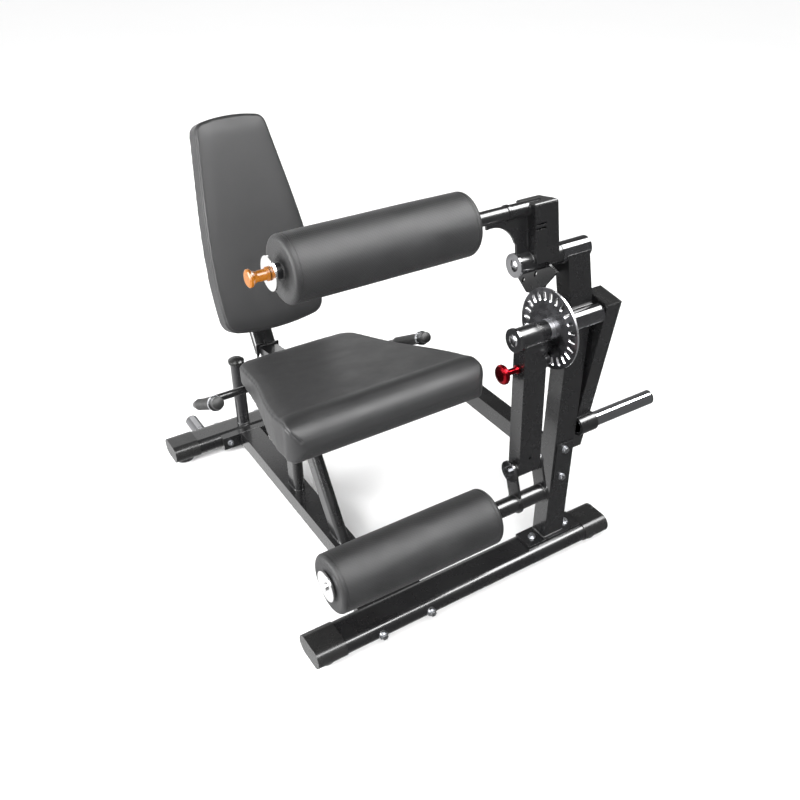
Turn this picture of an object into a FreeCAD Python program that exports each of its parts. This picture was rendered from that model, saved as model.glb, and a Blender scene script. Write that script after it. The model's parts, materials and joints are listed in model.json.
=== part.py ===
import FreeCAD, Part
import os
import math

os.makedirs("parts", exist_ok=True)
V = FreeCAD.Vector
XAX = V(1, 0, 0)

# ---------------------------------------------------------------- driving dimensions (mm)
# Working frame: x = 0 is the left face of the main upright, y = 0 its front face and z = 0 the
# floor. SHIFT, below, moves every piece so that the origin sits under the middle of the machine.
SEAT_X = -575.0            # lateral centre of the seat, the spine and the back pad
WALL = 3.0                 # wall of every frame tube
GAP = 0.3                  # clearance between faces that slide or turn on one another
STEP = 0.5                 # from the face a peg comes out of to where its full radius starts

BEAM_D, BEAM_H = 120.0, 60.0           # flat-oval base tube: depth along y, and height
BEAM_Z = 20.0              # underside of the base tubes
BEAM_MID = BEAM_Z + BEAM_H / 2
BEAM_TOP = BEAM_Z + BEAM_H
FRONT_Y, FRONT_X0, FRONT_X1 = 19.0, -885.0, 257.0
REAR_Y, REAR_X0, REAR_X1 = 1196.0, -882.0, -268.0
SHOE_L, SHOE_T, SHOE_END = 100.0, 3.0, 8.0
FOOT_R, FOOT_INSET = 40.0, 48.0

SPINE_W, SPINE_H = 80.0, 60.0
SADDLE_L, SADDLE_T = 230.0, 14.0
SADDLE_BOLT_DX = 88.0

BOLT_R, BOLT_AF = 6.0, 18.0            # M12 frame bolts
BOLT_HOLE_R = 6.25
WASHER_R, WASHER_T = 13.0, 2.0
HEAD_T, NUT_T = 8.0, 10.0

UP_W, UP_D = 80.0, 60.0    # main upright
UP_KNEE_Z = 955.0          # height where the upright leans back
BASE_PLATE_T = 10.0
BASE_BOLT_Y = 25.0
BASE_BOLT_X = (-33.0, 111.0)
LINK_BOLT_X = 40.0
LINK_BOLT_Z = (449.0, 340.0)

AXIS_Y, AXIS_Z = -20.0, 932.0          # main lever axis, along x
SHAFT_R, BORE_R = 12.45, 12.50
HOUSING_R, BEARING_R, BEARING_L = 30.0, 26.0, 15.0
HOUSING_X0, HOUSING_X1 = -82.0, 86.0
DISC_X0, DISC_X1, DISC_R = -98.0, -92.0, 118.0
SLOT_COUNT, SLOT_R, SLOT_L = 24, 5.2, 16.0
SLOT_RING_R = 95.0         # radius of the ring of slots, and of the pull pin
WEIGHT_TILT = 8.25         # the weight arm hangs rearwards, degrees
SWING_TILT = -2.9          # the swing arm hangs forwards, degrees
WARM_X0, WARM_X1 = 90.5, 144.5
WARM_WALL = 4.0
PEG_R, PEG_X0, PEG_X1 = 24.0, 158.0, 405.0
PEG_SHANK_R = 22.5         # where the peg passes through the weight arm
PEG_Y, PEG_Z = -31.0, -422.0           # in the weight arm's own frame
PLUG_T = 4.0               # head of a tube plug

SWING_X0, SWING_X1 = -200.0, -120.0
SWING_D = 50.0
HUB_R, BUSH_R, BUSH_L = 31.0, 17.0, 25.0
HUB_X0, HUB_X1 = -214.0, -112.3
PIN_R, PIN_BORE_R, PIN_NOSE_R = 6.0, 6.05, 4.9
COLLAR_X0, COLLAR_T = -146.0, 5.0      # collar that the pull pin's spring pushes on
ANKLE_L = 440.5            # main axis to ankle pivot
ANKLE_BOLT_R, ANKLE_BORE_R, ANKLE_HUB_R = 10.0, 10.05, 25.0
LINK_TILT = -18.6          # the ankle link leans forwards, degrees
LINK_L = 105.6             # ankle pivot to roller axis
LOW_TUBE_R = 27.0
LOW_PAD_R, LOW_PAD_X0, LOW_PAD_X1 = 88.0, -854.0, -317.0

TOP_Y, TOP_Z = 67.0, 1108.0            # thigh arm pivot, along x
THIGH_TILT = -10.0         # the thigh arm leans rearwards, degrees
THIGH_L = 148.0            # pivot to roller axis
THIGH_X0, THIGH_X1 = -121.0, -41.0
THIGH_D, THIGH_TOP = 80.0, 158.0
UP_TUBE_R, UP_TUBE_X0, UP_TUBE_X1 = 19.5, -869.0, -75.0
UP_RING_R, UP_RING_X0, UP_RING_X1 = 22.0, -190.0, -182.0
UP_PAD_R, UP_PAD_X0, UP_PAD_X1 = 85.0, -845.0, -320.0
THIGH_HUB_X0, THIGH_HUB_X1 = -160.0, -16.3
SLEEVE_X0 = -14.0
LOCK_X0, LOCK_X1, LOCK_STEP = -38.0, -30.0, 15.0
RELEASE_X0 = -928.0        # outer end of the release knob
RELEASE_STOP_X, RELEASE_COLLAR_X = -155.0, -102.0      # where the release spring sits

STRUT_W, STRUT_L = 40.0, 80.0          # flat-oval section of the seat strut and post
STRUT_ANGLE, STRUT_Y, POST_Y = 56.0, 385.0, 713.0
RAIL_W, RAIL_H, RAIL_Y0, RAIL_Y1 = 60.0, 40.0, 110.0, 860.0
BRACKET_T = 5.0
BRACKET_Y = (190.0, 500.0)             # depth of the two brackets under the seat board
LINK_Z0, LINK_Z1 = 364.0, 424.0
CROSS_Y0, CROSS_Y1 = 567.0, 627.0

BOARD_T = 12.0             # plywood under both pads
BAR_R, BAR_Y, BAR_Z = 12.5, 612.0, 617.0
GRIP_DIR, GRIP_X, GRIP_L = V(0, -0.86, 0.51), 354.0, 205.0
GRIP_R, GRIP_RING_R = 18.0, 23.0

BACK_TILT = 22.0
BACK_Y, BACK_Z = 741.0, 725.0          # lower front edge of the back pad
BACK_FOAM = 58.0
BACK_POST_TILT, BACK_POST_Y, BACK_POST_Z, BACK_POST_L = 30.0, 876.0, 566.0, 282.0

STORE_X, STORE_R, STORE_TOP = -573.0, 25.0, 356.0
STORE_PEG_X, STORE_PEG_Y1 = -737.0, 1346.0
STORE_PEG_Y0 = REAR_Y + BEAM_D / 2 + STEP


def ankle_pivot():
    """Depth and height of the ankle pivot."""
    a = math.radians(SWING_TILT)
    return AXIS_Y + ANKLE_L * math.sin(a), AXIS_Z - ANKLE_L * math.cos(a)


LOW_ROLLER_Y = ankle_pivot()[0] + LINK_L * math.sin(math.radians(LINK_TILT))
MID_X = (SEAT_X - GRIP_X - GRIP_RING_R + PEG_X1 + PLUG_T) / 2
MID_Y = (LOW_ROLLER_Y - LOW_PAD_R + STORE_PEG_Y1 + PLUG_T) / 2
SHIFT = V(-MID_X, -MID_Y, 0.0)


# ---------------------------------------------------------------- small helpers
def save(shape, name):
    out = shape.copy()
    out.translate(SHIFT)
    out.exportStep("parts/" + name + ".step")


def box(x0, x1, y0, y1, z0, z1):
    return Part.makeBox(x1 - x0, y1 - y0, z1 - z0, V(x0, y0, z0))


def rod_x(y, z, r, x0, x1):
    return Part.makeCylinder(r, x1 - x0, V(x0, y, z), V(1, 0, 0))


def rod_y(x, z, r, y0, y1):
    return Part.makeCylinder(r, y1 - y0, V(x, y0, z), V(0, 1, 0))


def rod_z(x, y, r, z0, z1):
    return Part.makeCylinder(r, z1 - z0, V(x, y, z0), V(0, 0, 1))


def tube_x(y, z, ro, ri, x0, x1):
    return rod_x(y, z, ro, x0, x1).cut(rod_x(y, z, ri, x0 - 1, x1 + 1))


def prism_x(points, x0, x1):
    ring = [V(x0, p[0], p[1]) for p in points]
    ring.append(ring[0])
    return Part.Face(Part.makePolygon(ring)).extrude(V(x1 - x0, 0, 0))


def oval_x(y, z, d, h, x0, x1):
    """Flat-oval bar along x."""
    r = h / 2.0
    body = box(x0, x1, y - d / 2 + r, y + d / 2 - r, z - r, z + r)
    body = body.fuse(rod_x(y - d / 2 + r, z, r, x0, x1))
    body = body.fuse(rod_x(y + d / 2 - r, z, r, x0, x1))
    return body.removeSplitter()


def oval_z(w, d, z0, z1):
    """Flat-oval post on the z axis, w across x and d along y."""
    r = min(w, d) / 2.0
    dx, dy = w / 2 - r, d / 2 - r
    body = box(-w / 2 + (r if dx else 0), w / 2 - (r if dx else 0),
               -d / 2 + (r if dy else 0), d / 2 - (r if dy else 0), z0, z1)
    body = body.fuse(rod_z(dx, dy, r, z0, z1)).fuse(rod_z(-dx, -dy, r, z0, z1))
    return body.removeSplitter()


def turned(shape, degrees, y, z):
    """Turn a shape built around the origin about x, then carry it to (y, z)."""
    out = shape.copy()
    out.rotate(V(0, 0, 0), XAX, degrees)
    out.translate(V(0, y, z))
    return out


def hexagon(af, length):
    """Hexagonal prism along x from the origin."""
    r = af / math.sqrt(3.0)
    corners = [(r * math.cos(math.radians(60 * k)), r * math.sin(math.radians(60 * k))) for k in range(6)]
    return prism_x(corners, 0, length)


def hex_y(x, z, af, y0, y1):
    nut = hexagon(af, y1 - y0)
    nut.rotate(V(0, 0, 0), V(0, 0, 1), 90)
    nut.translate(V(x, y0, z))
    return nut


def hex_z(x, y, af, z0, z1):
    nut = hexagon(af, z1 - z0)
    nut.rotate(V(0, 0, 0), V(0, 1, 0), -90)
    nut.translate(V(x, y, z0))
    return nut


def spun(points):
    """Solid of revolution about x from (x, radius) points."""
    ring = [V(p[0], 0, p[1]) for p in points]
    ring.append(ring[0])
    return Part.Face(Part.makePolygon(ring)).revolve(V(0, 0, 0), XAX, 360)


def arc(a, middle, b):
    return Part.Arc(V(*a), V(*middle), V(*b)).toShape()


def line(a, b):
    return Part.makeLine(V(*a), V(*b))


def curve(points):
    spline = Part.BSplineCurve()
    spline.interpolate([V(*p) for p in points])
    return spline.toShape()


def both_sides(lower, upper, side):
    """Closed outline from its lower and upper edges and the edges of its right side."""
    mirrored = [edge.mirror(V(0, 0, 0), XAX) for edge in side]
    return Part.Wire(Part.__sortEdges__([lower, upper] + side + mirrored))


def inwards(inset, middle):
    """Function that moves a point (w, s) of an outline inwards by inset, s counted about middle."""
    def move(w, s):
        side = (w > 0) - (w < 0)
        return (w - side * inset, s + inset if s < middle else s - inset, 0)
    return move


def group(shapes):
    """Separate solids that share one node."""
    return Part.makeCompound(shapes)


def biggest(shape):
    return sorted(shape.Solids, key=lambda s: -s.Volume)[0]


def lowest(shape):
    return sorted(shape.Solids, key=lambda s: s.BoundBox.ZMin)[0]


def joined(shapes):
    """Welded pieces as one solid."""
    return shapes[0].fuse(shapes[1:]).removeSplitter()


def coil_x(r, wire, x0, x1, turns):
    """Round-wire compression spring about the x axis."""
    pitch = (x1 - x0 - wire) / turns
    helix = Part.makeHelix(pitch, pitch * turns, r)
    section = Part.Wire(Part.Circle(V(r, 0, 0), V(0, 1, 0), wire / 2).toShape())
    coil = Part.Wire(helix.Edges).makePipeShell([section], True, True)
    coil.rotate(V(0, 0, 0), V(0, 1, 0), 90)
    coil.translate(V(x0 + wire / 2, 0, 0))
    return coil


# ---------------------------------------------------------------- base
def beam_solid(y, x0, x1, grow=0.0):
    return oval_x(y, BEAM_MID, BEAM_D + 2 * grow, BEAM_H + 2 * grow, x0, x1)


def beam(y, x0, x1):
    return beam_solid(y, x0, x1).cut(beam_solid(y, x0 - 1, x1 + 1, -WALL))


def shoe(y, outer, inner):
    lo, hi = min(outer, inner), max(outer, inner)
    body = beam_solid(y, lo, hi, SHOE_T)
    if outer < inner:
        return body.cut(beam_solid(y, outer + SHOE_END, inner + 1))
    return body.cut(beam_solid(y, inner - 1, outer - SHOE_END))


def saddle_bolt_x():
    return (SEAT_X - SADDLE_BOLT_DX, SEAT_X + SADDLE_BOLT_DX)


def build_beams():
    front = beam(FRONT_Y, FRONT_X0 + SHOE_END, FRONT_X1 - SHOE_END)
    rear = beam(REAR_Y, REAR_X0 + SHOE_END, REAR_X1 - SHOE_END)
    for x in saddle_bolt_x():
        front = front.cut(rod_y(x, BEAM_MID, BOLT_HOLE_R, FRONT_Y - BEAM_D, FRONT_Y + BEAM_D))
        rear = rear.cut(rod_y(x, BEAM_MID, BOLT_HOLE_R, REAR_Y - BEAM_D, REAR_Y + BEAM_D))
    for x in BASE_BOLT_X:
        front = front.cut(rod_z(x, BASE_BOLT_Y, BOLT_HOLE_R, 0, BEAM_TOP + 1))
    save(front, "front_beam")
    save(rear, "rear_beam")
    shoes = []
    feet = []
    for y, x0, x1 in ((FRONT_Y, FRONT_X0, FRONT_X1), (REAR_Y, REAR_X0, REAR_X1)):
        shoes.append(shoe(y, x0, x0 + SHOE_L))
        shoes.append(shoe(y, x1, x1 - SHOE_L))
        for x in (x0 + FOOT_INSET, x1 - FOOT_INSET):
            foot = Part.makeCone(FOOT_R - 3, FOOT_R, 6, V(x, y, 0), V(0, 0, 1))
            foot = foot.fuse(rod_z(x, y, FOOT_R, 6, BEAM_Z - SHOE_T))
            feet.append(foot.removeSplitter())
    save(group(shoes), "beam_shoes")
    save(group(feet), "rubber_feet")


def build_spine():
    y0 = FRONT_Y + BEAM_D / 2 + SADDLE_T
    y1 = REAR_Y - BEAM_D / 2 - SADDLE_T
    reach = BEAM_D / 6         # how far each saddle wraps round its beam
    tube = box(SEAT_X - SPINE_W / 2, SEAT_X + SPINE_W / 2, y0, y1, BEAM_Z, BEAM_Z + SPINE_H)
    bore = box(SEAT_X - SPINE_W / 2 + WALL, SEAT_X + SPINE_W / 2 - WALL, y0 - 1, y1 + 1,
               BEAM_Z + WALL, BEAM_Z + SPINE_H - WALL)
    half = SADDLE_L / 2
    front = box(SEAT_X - half, SEAT_X + half, y0 - SADDLE_T - reach, y0, BEAM_Z + WALL, BEAM_TOP - WALL)
    rear = box(SEAT_X - half, SEAT_X + half, y1, y1 + SADDLE_T + reach, BEAM_Z + WALL, BEAM_TOP - WALL)
    front = front.cut(beam_solid(FRONT_Y, FRONT_X0, FRONT_X1))
    rear = rear.cut(beam_solid(REAR_Y, REAR_X0, REAR_X1))
    for x in saddle_bolt_x():
        front = front.cut(rod_y(x, BEAM_MID, BOLT_HOLE_R, y0 - 2 * SADDLE_T, y0 + 1))
        rear = rear.cut(rod_y(x, BEAM_MID, BOLT_HOLE_R, y1 - 1, y1 + 2 * SADDLE_T))
    save(tube.cut(bore), "spine_tube")
    save(group([front, rear]), "spine_saddles")


def y_fastener(x, z, head_y, nut_y):
    """Bolt along y with its head at head_y, and its nut and washers."""
    way = 1 if nut_y > head_y else -1
    tip = nut_y + way * (NUT_T + 5)
    head = hex_y(x, z, BOLT_AF, min(head_y, head_y - way * HEAD_T), max(head_y, head_y - way * HEAD_T))
    bolt = head.fuse(rod_y(x, z, BOLT_R, min(head_y, tip), max(head_y, tip)))
    nut_end = nut_y + way * NUT_T
    nut = hex_y(x, z, BOLT_AF, min(nut_y, nut_end), max(nut_y, nut_end))
    under_head = head_y + way * WASHER_T
    under_nut = nut_y - way * WASHER_T
    washers = [rod_y(x, z, WASHER_R, min(a, b), max(a, b))
               for a, b in ((head_y, under_head), (under_nut, nut_y))]
    shank = rod_y(x, z, BOLT_R, min(head_y, tip) - 1, max(head_y, tip) + 1)
    rings = [piece.cut(shank) for piece in [nut] + washers]
    return bolt.removeSplitter(), rings


def build_frame_fasteners():
    bolts = []
    rings = []
    y0 = FRONT_Y + BEAM_D / 2 + SADDLE_T
    y1 = REAR_Y - BEAM_D / 2 - SADDLE_T
    pad_t = 6.0                # saddle washer that flattens the tube's round edge
    front_nose = FRONT_Y - BEAM_D / 2
    rear_nose = REAR_Y + BEAM_D / 2
    for x in saddle_bolt_x():
        for nose, seat, way, tube_y in ((front_nose, y0, 1, FRONT_Y), (rear_nose, y1, -1, REAR_Y)):
            bolt, loose = y_fastener(x, BEAM_MID, nose - way * (pad_t + WASHER_T), seat + way * WASHER_T)
            saddle = rod_y(x, BEAM_MID, WASHER_R + 2, nose - pad_t, nose + pad_t)
            saddle = saddle.cut(beam_solid(tube_y, FRONT_X0, FRONT_X1))
            saddle = saddle.cut(rod_y(x, BEAM_MID, BOLT_R, nose - 2 * pad_t, nose + 2 * pad_t))
            bolts.append(bolt)
            rings += loose + [saddle]
    for z in LINK_BOLT_Z:
        bolt, loose = y_fastener(LINK_BOLT_X, z, -BRACKET_T - WASHER_T, UP_D + 10 + WASHER_T)
        bolts.append(bolt)
        rings += loose
    plate_top = BEAM_TOP + BASE_PLATE_T
    for x in BASE_BOLT_X:
        head = hex_z(x, BASE_BOLT_Y, BOLT_AF, plate_top + WASHER_T, plate_top + WASHER_T + HEAD_T)
        shank = rod_z(x, BASE_BOLT_Y, BOLT_R, 5, plate_top + WASHER_T)
        bolts.append(head.fuse(shank).removeSplitter())
        hole = rod_z(x, BASE_BOLT_Y, BOLT_R, 0, plate_top + 20)
        rings.append(hex_z(x, BASE_BOLT_Y, BOLT_AF, 8, BEAM_Z - WASHER_T).cut(hole))
        rings.append(rod_z(x, BASE_BOLT_Y, WASHER_R, BEAM_Z - WASHER_T, BEAM_Z).cut(hole))
        rings.append(rod_z(x, BASE_BOLT_Y, WASHER_R, plate_top, plate_top + WASHER_T).cut(hole))
    save(group(bolts), "frame_bolts")
    save(group(rings), "frame_nuts_and_washers")


def build_storage():
    post = rod_z(STORE_X, REAR_Y, STORE_R, BEAM_TOP, STORE_TOP)
    post = post.cut(rod_z(STORE_X, REAR_Y, STORE_R - WALL, BEAM_TOP - 1, STORE_TOP + 1))
    save(post, "storage_post")
    rim_r, rim_t, dome_r = 31.0, 10.0, 44.0
    cap = rod_z(STORE_X, REAR_Y, STORE_R - WALL, STORE_TOP - 16, STORE_TOP)
    cap = cap.fuse(rod_z(STORE_X, REAR_Y, rim_r, STORE_TOP, STORE_TOP + rim_t))
    drop = math.sqrt(dome_r ** 2 - rim_r ** 2)
    dome = Part.makeSphere(dome_r, V(STORE_X, REAR_Y, STORE_TOP + rim_t - drop))
    dome = dome.common(rod_z(STORE_X, REAR_Y, rim_r, STORE_TOP + rim_t, STORE_TOP + 2 * rim_r))
    save(cap.fuse(dome).removeSplitter(), "storage_post_cap")
    shank = rod_y(STORE_PEG_X, BEAM_MID, STORE_R - 1, REAR_Y + 20, STORE_PEG_Y0)
    peg = shank.fuse(rod_y(STORE_PEG_X, BEAM_MID, STORE_R, STORE_PEG_Y0, STORE_PEG_Y1))
    peg = biggest(peg.cut(beam_solid(REAR_Y, REAR_X0, REAR_X1)))
    save(peg.cut(rod_y(STORE_PEG_X, BEAM_MID, STORE_R - WALL, REAR_Y, STORE_PEG_Y1 + 1)), "storage_peg")


def storage_peg_plug():
    plug = rod_y(STORE_PEG_X, BEAM_MID, STORE_R - WALL, STORE_PEG_Y1 - 14, STORE_PEG_Y1)
    return joined([plug, rod_y(STORE_PEG_X, BEAM_MID, STORE_R, STORE_PEG_Y1, STORE_PEG_Y1 + PLUG_T)])


# ---------------------------------------------------------------- upright
def upright_profile(off):
    """Side view of the upright, offset inwards by off."""
    lean = TOP_Y - UP_D / 2
    foot = BEAM_TOP + BASE_PLATE_T - (1 if off else 0)
    return [(off, foot), (UP_D - off, foot), (UP_D - off, UP_KNEE_Z), (UP_D - off + lean, TOP_Z),
            (off + lean, TOP_Z), (off, UP_KNEE_Z)]


def build_upright():
    body = prism_x(upright_profile(0.0), 0.0, UP_W)
    body = body.cut(prism_x(upright_profile(WALL), WALL, UP_W - WALL))
    plate = box(-70, 150, -12, 64, BEAM_TOP, BEAM_TOP + BASE_PLATE_T)
    for x in BASE_BOLT_X:
        plate = plate.cut(rod_z(x, BASE_BOLT_Y, BOLT_HOLE_R, BEAM_TOP - 1, BEAM_TOP + BASE_PLATE_T + 1))
    body = biggest(joined([body, plate]))
    body = body.cut(rod_x(TOP_Y, TOP_Z, HOUSING_R, -10, UP_W + 10))
    body = body.cut(rod_x(AXIS_Y, AXIS_Z, HOUSING_R, -10, UP_W + 10))
    for z in LINK_BOLT_Z:
        body = body.cut(rod_y(LINK_BOLT_X, z, BOLT_HOLE_R, -1, UP_D + 1))
    save(biggest(body), "main_upright")


def link_plug():
    head = box(70, 70 + PLUG_T, CROSS_Y0, CROSS_Y1, LINK_Z0, LINK_Z1)
    inner = box(55, 70, CROSS_Y0 + WALL, CROSS_Y1 - WALL, LINK_Z0 + WALL, LINK_Z1 - WALL)
    return joined([head, inner])


def build_link():
    """Angled tube that ties the seat strut to the upright, and the plate in front of the upright."""
    flange = box(0, UP_W, UP_D, UP_D + 10, 305, 485)
    plate = box(8, UP_W - 8, -BRACKET_T, 0, 305, 476)
    for z in LINK_BOLT_Z:
        flange = flange.cut(rod_y(LINK_BOLT_X, z, BOLT_HOLE_R, UP_D - 1, UP_D + 11))
        plate = plate.cut(rod_y(LINK_BOLT_X, z, BOLT_HOLE_R, -10, 1))
    save(plate, "link_backing_plate")
    tube = box(10, 70, UP_D + 10, CROSS_Y0, LINK_Z0, LINK_Z1)
    cross = box(SEAT_X, 70, CROSS_Y0, CROSS_Y1, LINK_Z0, LINK_Z1)
    body = joined([flange, tube, cross])
    body = body.cut(box(10 + WALL, 70 - WALL, UP_D + 10, CROSS_Y0, LINK_Z0 + WALL, LINK_Z1 - WALL))
    body = body.cut(box(SEAT_X - 9, 71, CROSS_Y0 + WALL, CROSS_Y1 - WALL, LINK_Z0 + WALL, LINK_Z1 - WALL))
    save(biggest(body.cut(strut_solid())), "link_frame")


# ---------------------------------------------------------------- seat
def seat_under(y):
    """Height of the seat board's underside at depth y."""
    return 645.0 + 0.162 * (600.0 - y)


def seat_top(y):
    return 710.0 + 0.26 * (600.0 - y)


def strut_solid(shrink=0.0):
    body = oval_z(STRUT_W - 2 * shrink, STRUT_L - 2 * shrink, -120, 900)
    return turned(body, STRUT_ANGLE - 90, STRUT_Y, BEAM_TOP).translated(V(SEAT_X, 0, 0))


def sloped(y0, y1, low, high, half_w):
    """Slab parallel to the seat board, from low to high above the board's underside."""
    side = [(y0, seat_under(y0) + low), (y1, seat_under(y1) + low),
            (y1, seat_under(y1) + high), (y0, seat_under(y0) + high)]
    return prism_x(side, SEAT_X - half_w, SEAT_X + half_w)


def bar_line(r, half_w):
    return rod_x(BAR_Y, BAR_Z, r, SEAT_X - half_w, SEAT_X + half_w)


def build_seat_frame():
    rail_low = -BRACKET_T - RAIL_H
    below = box(SEAT_X - 200, SEAT_X + 200, 0, 1400, -200, BEAM_TOP)
    above = sloped(-200, 1500, rail_low, 2000, 300)
    strut = strut_solid().cut(strut_solid(WALL)).cut(below).cut(above)
    save(biggest(strut), "seat_strut")
    post = oval_z(STRUT_W, STRUT_L, BEAM_TOP, 640)
    post = post.cut(oval_z(STRUT_W - 2 * WALL, STRUT_L - 2 * WALL, BEAM_TOP - 1, 641))
    post.translate(V(SEAT_X, POST_Y, 0))
    save(lowest(post.cut(strut_solid())), "seat_post")
    rail = sloped(RAIL_Y0, RAIL_Y1, rail_low, -BRACKET_T, RAIL_W / 2)
    rail = rail.cut(sloped(RAIL_Y0 - 1, RAIL_Y1 + 1, rail_low + WALL, -BRACKET_T - WALL, RAIL_W / 2 - WALL))
    pieces = [rail]
    for y in BRACKET_Y:
        pieces.append(sloped(y - 20, y + 20, -BRACKET_T, 0, 150))
    foot = seat_under(RAIL_Y1) - BRACKET_T
    pieces.append(box(SEAT_X - 42, SEAT_X + 42, RAIL_Y1, RAIL_Y1 + 6, foot - 46, foot + 6))
    rail = joined(pieces).cut(bar_line(BAR_R, 60)).cut(back_post_solid())
    save(biggest(rail), "seat_rail")


def seat_outline(inset):
    """Plan of the seat: half width across, depth along y."""
    at = inwards(inset, 300)
    front = line(at(-262, 12), at(262, 12))
    rear = arc(at(-150, 645), at(0, 662), at(150, 645))
    side = [arc(at(262, 12), at(295, 30), at(306, 75)),
            curve([at(306, 75), at(294, 190), at(240, 400), at(214, 550), at(207, 596)]),
            arc(at(207, 596), at(192, 630), at(150, 645))]
    return both_sides(front, rear, side)


def seat_plan(inset):
    slab = Part.Face(seat_outline(inset)).extrude(V(0, 0, 500))
    slab.translate(V(SEAT_X, 0, 500))
    return slab


def build_seat():
    def on_top(y, down=0.0):
        return (0, y, seat_top(y) - down)
    rear_low = (0, 662, seat_under(662))
    chin = (0, 36, seat_under(36))
    side = [arc(on_top(662, 26), on_top(655, 7), on_top(636)), line(on_top(636), on_top(110)),
            arc(on_top(110), on_top(38, 23), on_top(13, 74)),
            arc(on_top(13, 74), (0, 17, seat_under(17) + 34), chin),
            line(chin, rear_low), line(rear_low, on_top(662, 26))]
    pad = Part.Face(Part.Wire(Part.__sortEdges__(side))).extrude(V(700, 0, 0))
    pad.translate(V(SEAT_X - 350, 0, 0))
    board = biggest(sloped(48, 650, 0, BOARD_T, 350).common(seat_plan(12.0)))
    save(board, "seat_board")
    save(biggest(pad.common(seat_plan(0.0)).cut(board)), "seat_pad")


def along(base, r, s0, s1):
    """Round bar along the grip direction from base."""
    way = V(GRIP_DIR)
    way.normalize()
    return Part.makeCylinder(r, s1 - s0, base + way * s0, way)


def build_handles():
    bar = bar_line(BAR_R, GRIP_X)
    sleeves = []
    rings = []
    plugs = []
    ring_l = 9.0
    for x in (SEAT_X - GRIP_X, SEAT_X + GRIP_X):
        corner = V(x, BAR_Y, BAR_Z)
        bar = bar.fuse(Part.makeSphere(BAR_R, corner)).fuse(along(corner, BAR_R, 0, GRIP_L))
        sleeves.append(along(corner, GRIP_R, 72, GRIP_L).cut(along(corner, BAR_R, 60, GRIP_L + 5)))
        ring = along(corner, GRIP_RING_R, GRIP_L, GRIP_L + ring_l)
        rings.append(ring.cut(along(corner, BAR_R, GRIP_L - 1, GRIP_L + 20)))
        plugs.append(along(corner, BAR_R, GRIP_L, GRIP_L + ring_l + 3))
    save(bar.removeSplitter(), "handle_bar")
    save(group(sleeves), "hand_grips")
    save(group(rings), "grip_end_rings")
    save(group(plugs + [link_plug(), back_post_plug(), storage_peg_plug()]), "end_plugs")


# ---------------------------------------------------------------- back
def back_place(shape):
    """Back parts are drawn upright around the seat's centre, with y rearwards from the pad's face."""
    return turned(shape, -BACK_TILT, BACK_Y, BACK_Z)


def back_outline(inset):
    """Front view of the back pad: half width across, distance up the pad."""
    at = inwards(inset, 340)
    lower = arc(at(-138, 13), at(0, 0), at(138, 13))
    upper = arc(at(-86, 672), at(0, 680), at(86, 672))
    side = [arc(at(138, 13), at(165, 30), at(175, 66)),
            curve([at(175, 66), at(176, 190), at(154, 415), at(120, 640)]),
            arc(at(120, 640), at(109, 662), at(86, 672))]
    return both_sides(lower, upper, side)


def back_slab(y0, y1, inset):
    slab = Part.Face(back_outline(inset)).extrude(V(0, 0, y0 - y1))
    slab.rotate(V(0, 0, 0), XAX, 90)
    slab.translate(V(SEAT_X, y0, 0))
    return back_place(slab)


def back_post_place(shape):
    return turned(shape, -BACK_POST_TILT, BACK_POST_Y, BACK_POST_Z).translated(V(SEAT_X, 0, 0))


def back_post_solid():
    return back_post_place(oval_z(STRUT_L, STRUT_W, -60, BACK_POST_L + 60))


def back_post_plug():
    head = oval_z(STRUT_L, STRUT_W, BACK_POST_L, BACK_POST_L + PLUG_T)
    inner = oval_z(STRUT_L - 2 * WALL, STRUT_W - 2 * WALL, BACK_POST_L - 14, BACK_POST_L)
    return back_post_place(joined([head, inner]))


def build_back():
    rear_face = BACK_FOAM + BOARD_T
    board = back_slab(BACK_FOAM, rear_face, 10)
    save(board, "back_board")
    save(back_slab(0, rear_face, 0).cut(board), "back_pad")
    plate = box(SEAT_X - 90, SEAT_X + 90, rear_face, rear_face + BRACKET_T, 25, 185)
    arm = box(SEAT_X - 30, SEAT_X + 30, rear_face + BRACKET_T, 400, 82, 122)
    arm = arm.cut(box(SEAT_X - 30 + WALL, SEAT_X + 30 - WALL, rear_face + BRACKET_T, 401,
                      82 + WALL, 122 - WALL))
    arm = back_place(joined([plate, arm])).cut(back_post_solid())
    save(sorted(arm.Solids, key=lambda s: s.BoundBox.YMin)[0], "back_arm")
    post = oval_z(STRUT_L, STRUT_W, 0, BACK_POST_L)
    post = post.cut(oval_z(STRUT_L - 2 * WALL, STRUT_W - 2 * WALL, -1, BACK_POST_L + 1))
    in_front = box(SEAT_X - 60, SEAT_X + 60, RAIL_Y1 - 300, RAIL_Y1, 400, 700)
    save(biggest(back_post_place(post).cut(in_front)), "back_post")
    screws = []
    for x in (SEAT_X - 72, SEAT_X + 72):
        for s in (42, 168):
            screws.append(back_place(rod_y(x, s, 8, rear_face + BRACKET_T, rear_face + BRACKET_T + 4)))
    for x in (SEAT_X - 125, SEAT_X + 125):
        for y in BRACKET_Y:
            screws.append(rod_z(x, y, 8, seat_under(y) - BRACKET_T - 6, seat_under(y) - BRACKET_T).cut(
                sloped(y - 20, y + 20, -BRACKET_T, 0, 150)))
    save(group(screws), "pad_screws")


# ---------------------------------------------------------------- main lever
def build_bearings():
    save(tube_x(AXIS_Y, AXIS_Z, HOUSING_R, BEARING_R, HOUSING_X0, HOUSING_X1), "bearing_housing")
    left = tube_x(AXIS_Y, AXIS_Z, BEARING_R, BORE_R, HOUSING_X0, HOUSING_X0 + BEARING_L)
    right = tube_x(AXIS_Y, AXIS_Z, BEARING_R, BORE_R, HOUSING_X1 - BEARING_L, HOUSING_X1)
    save(group([left, right]), "main_bearings")


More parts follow.
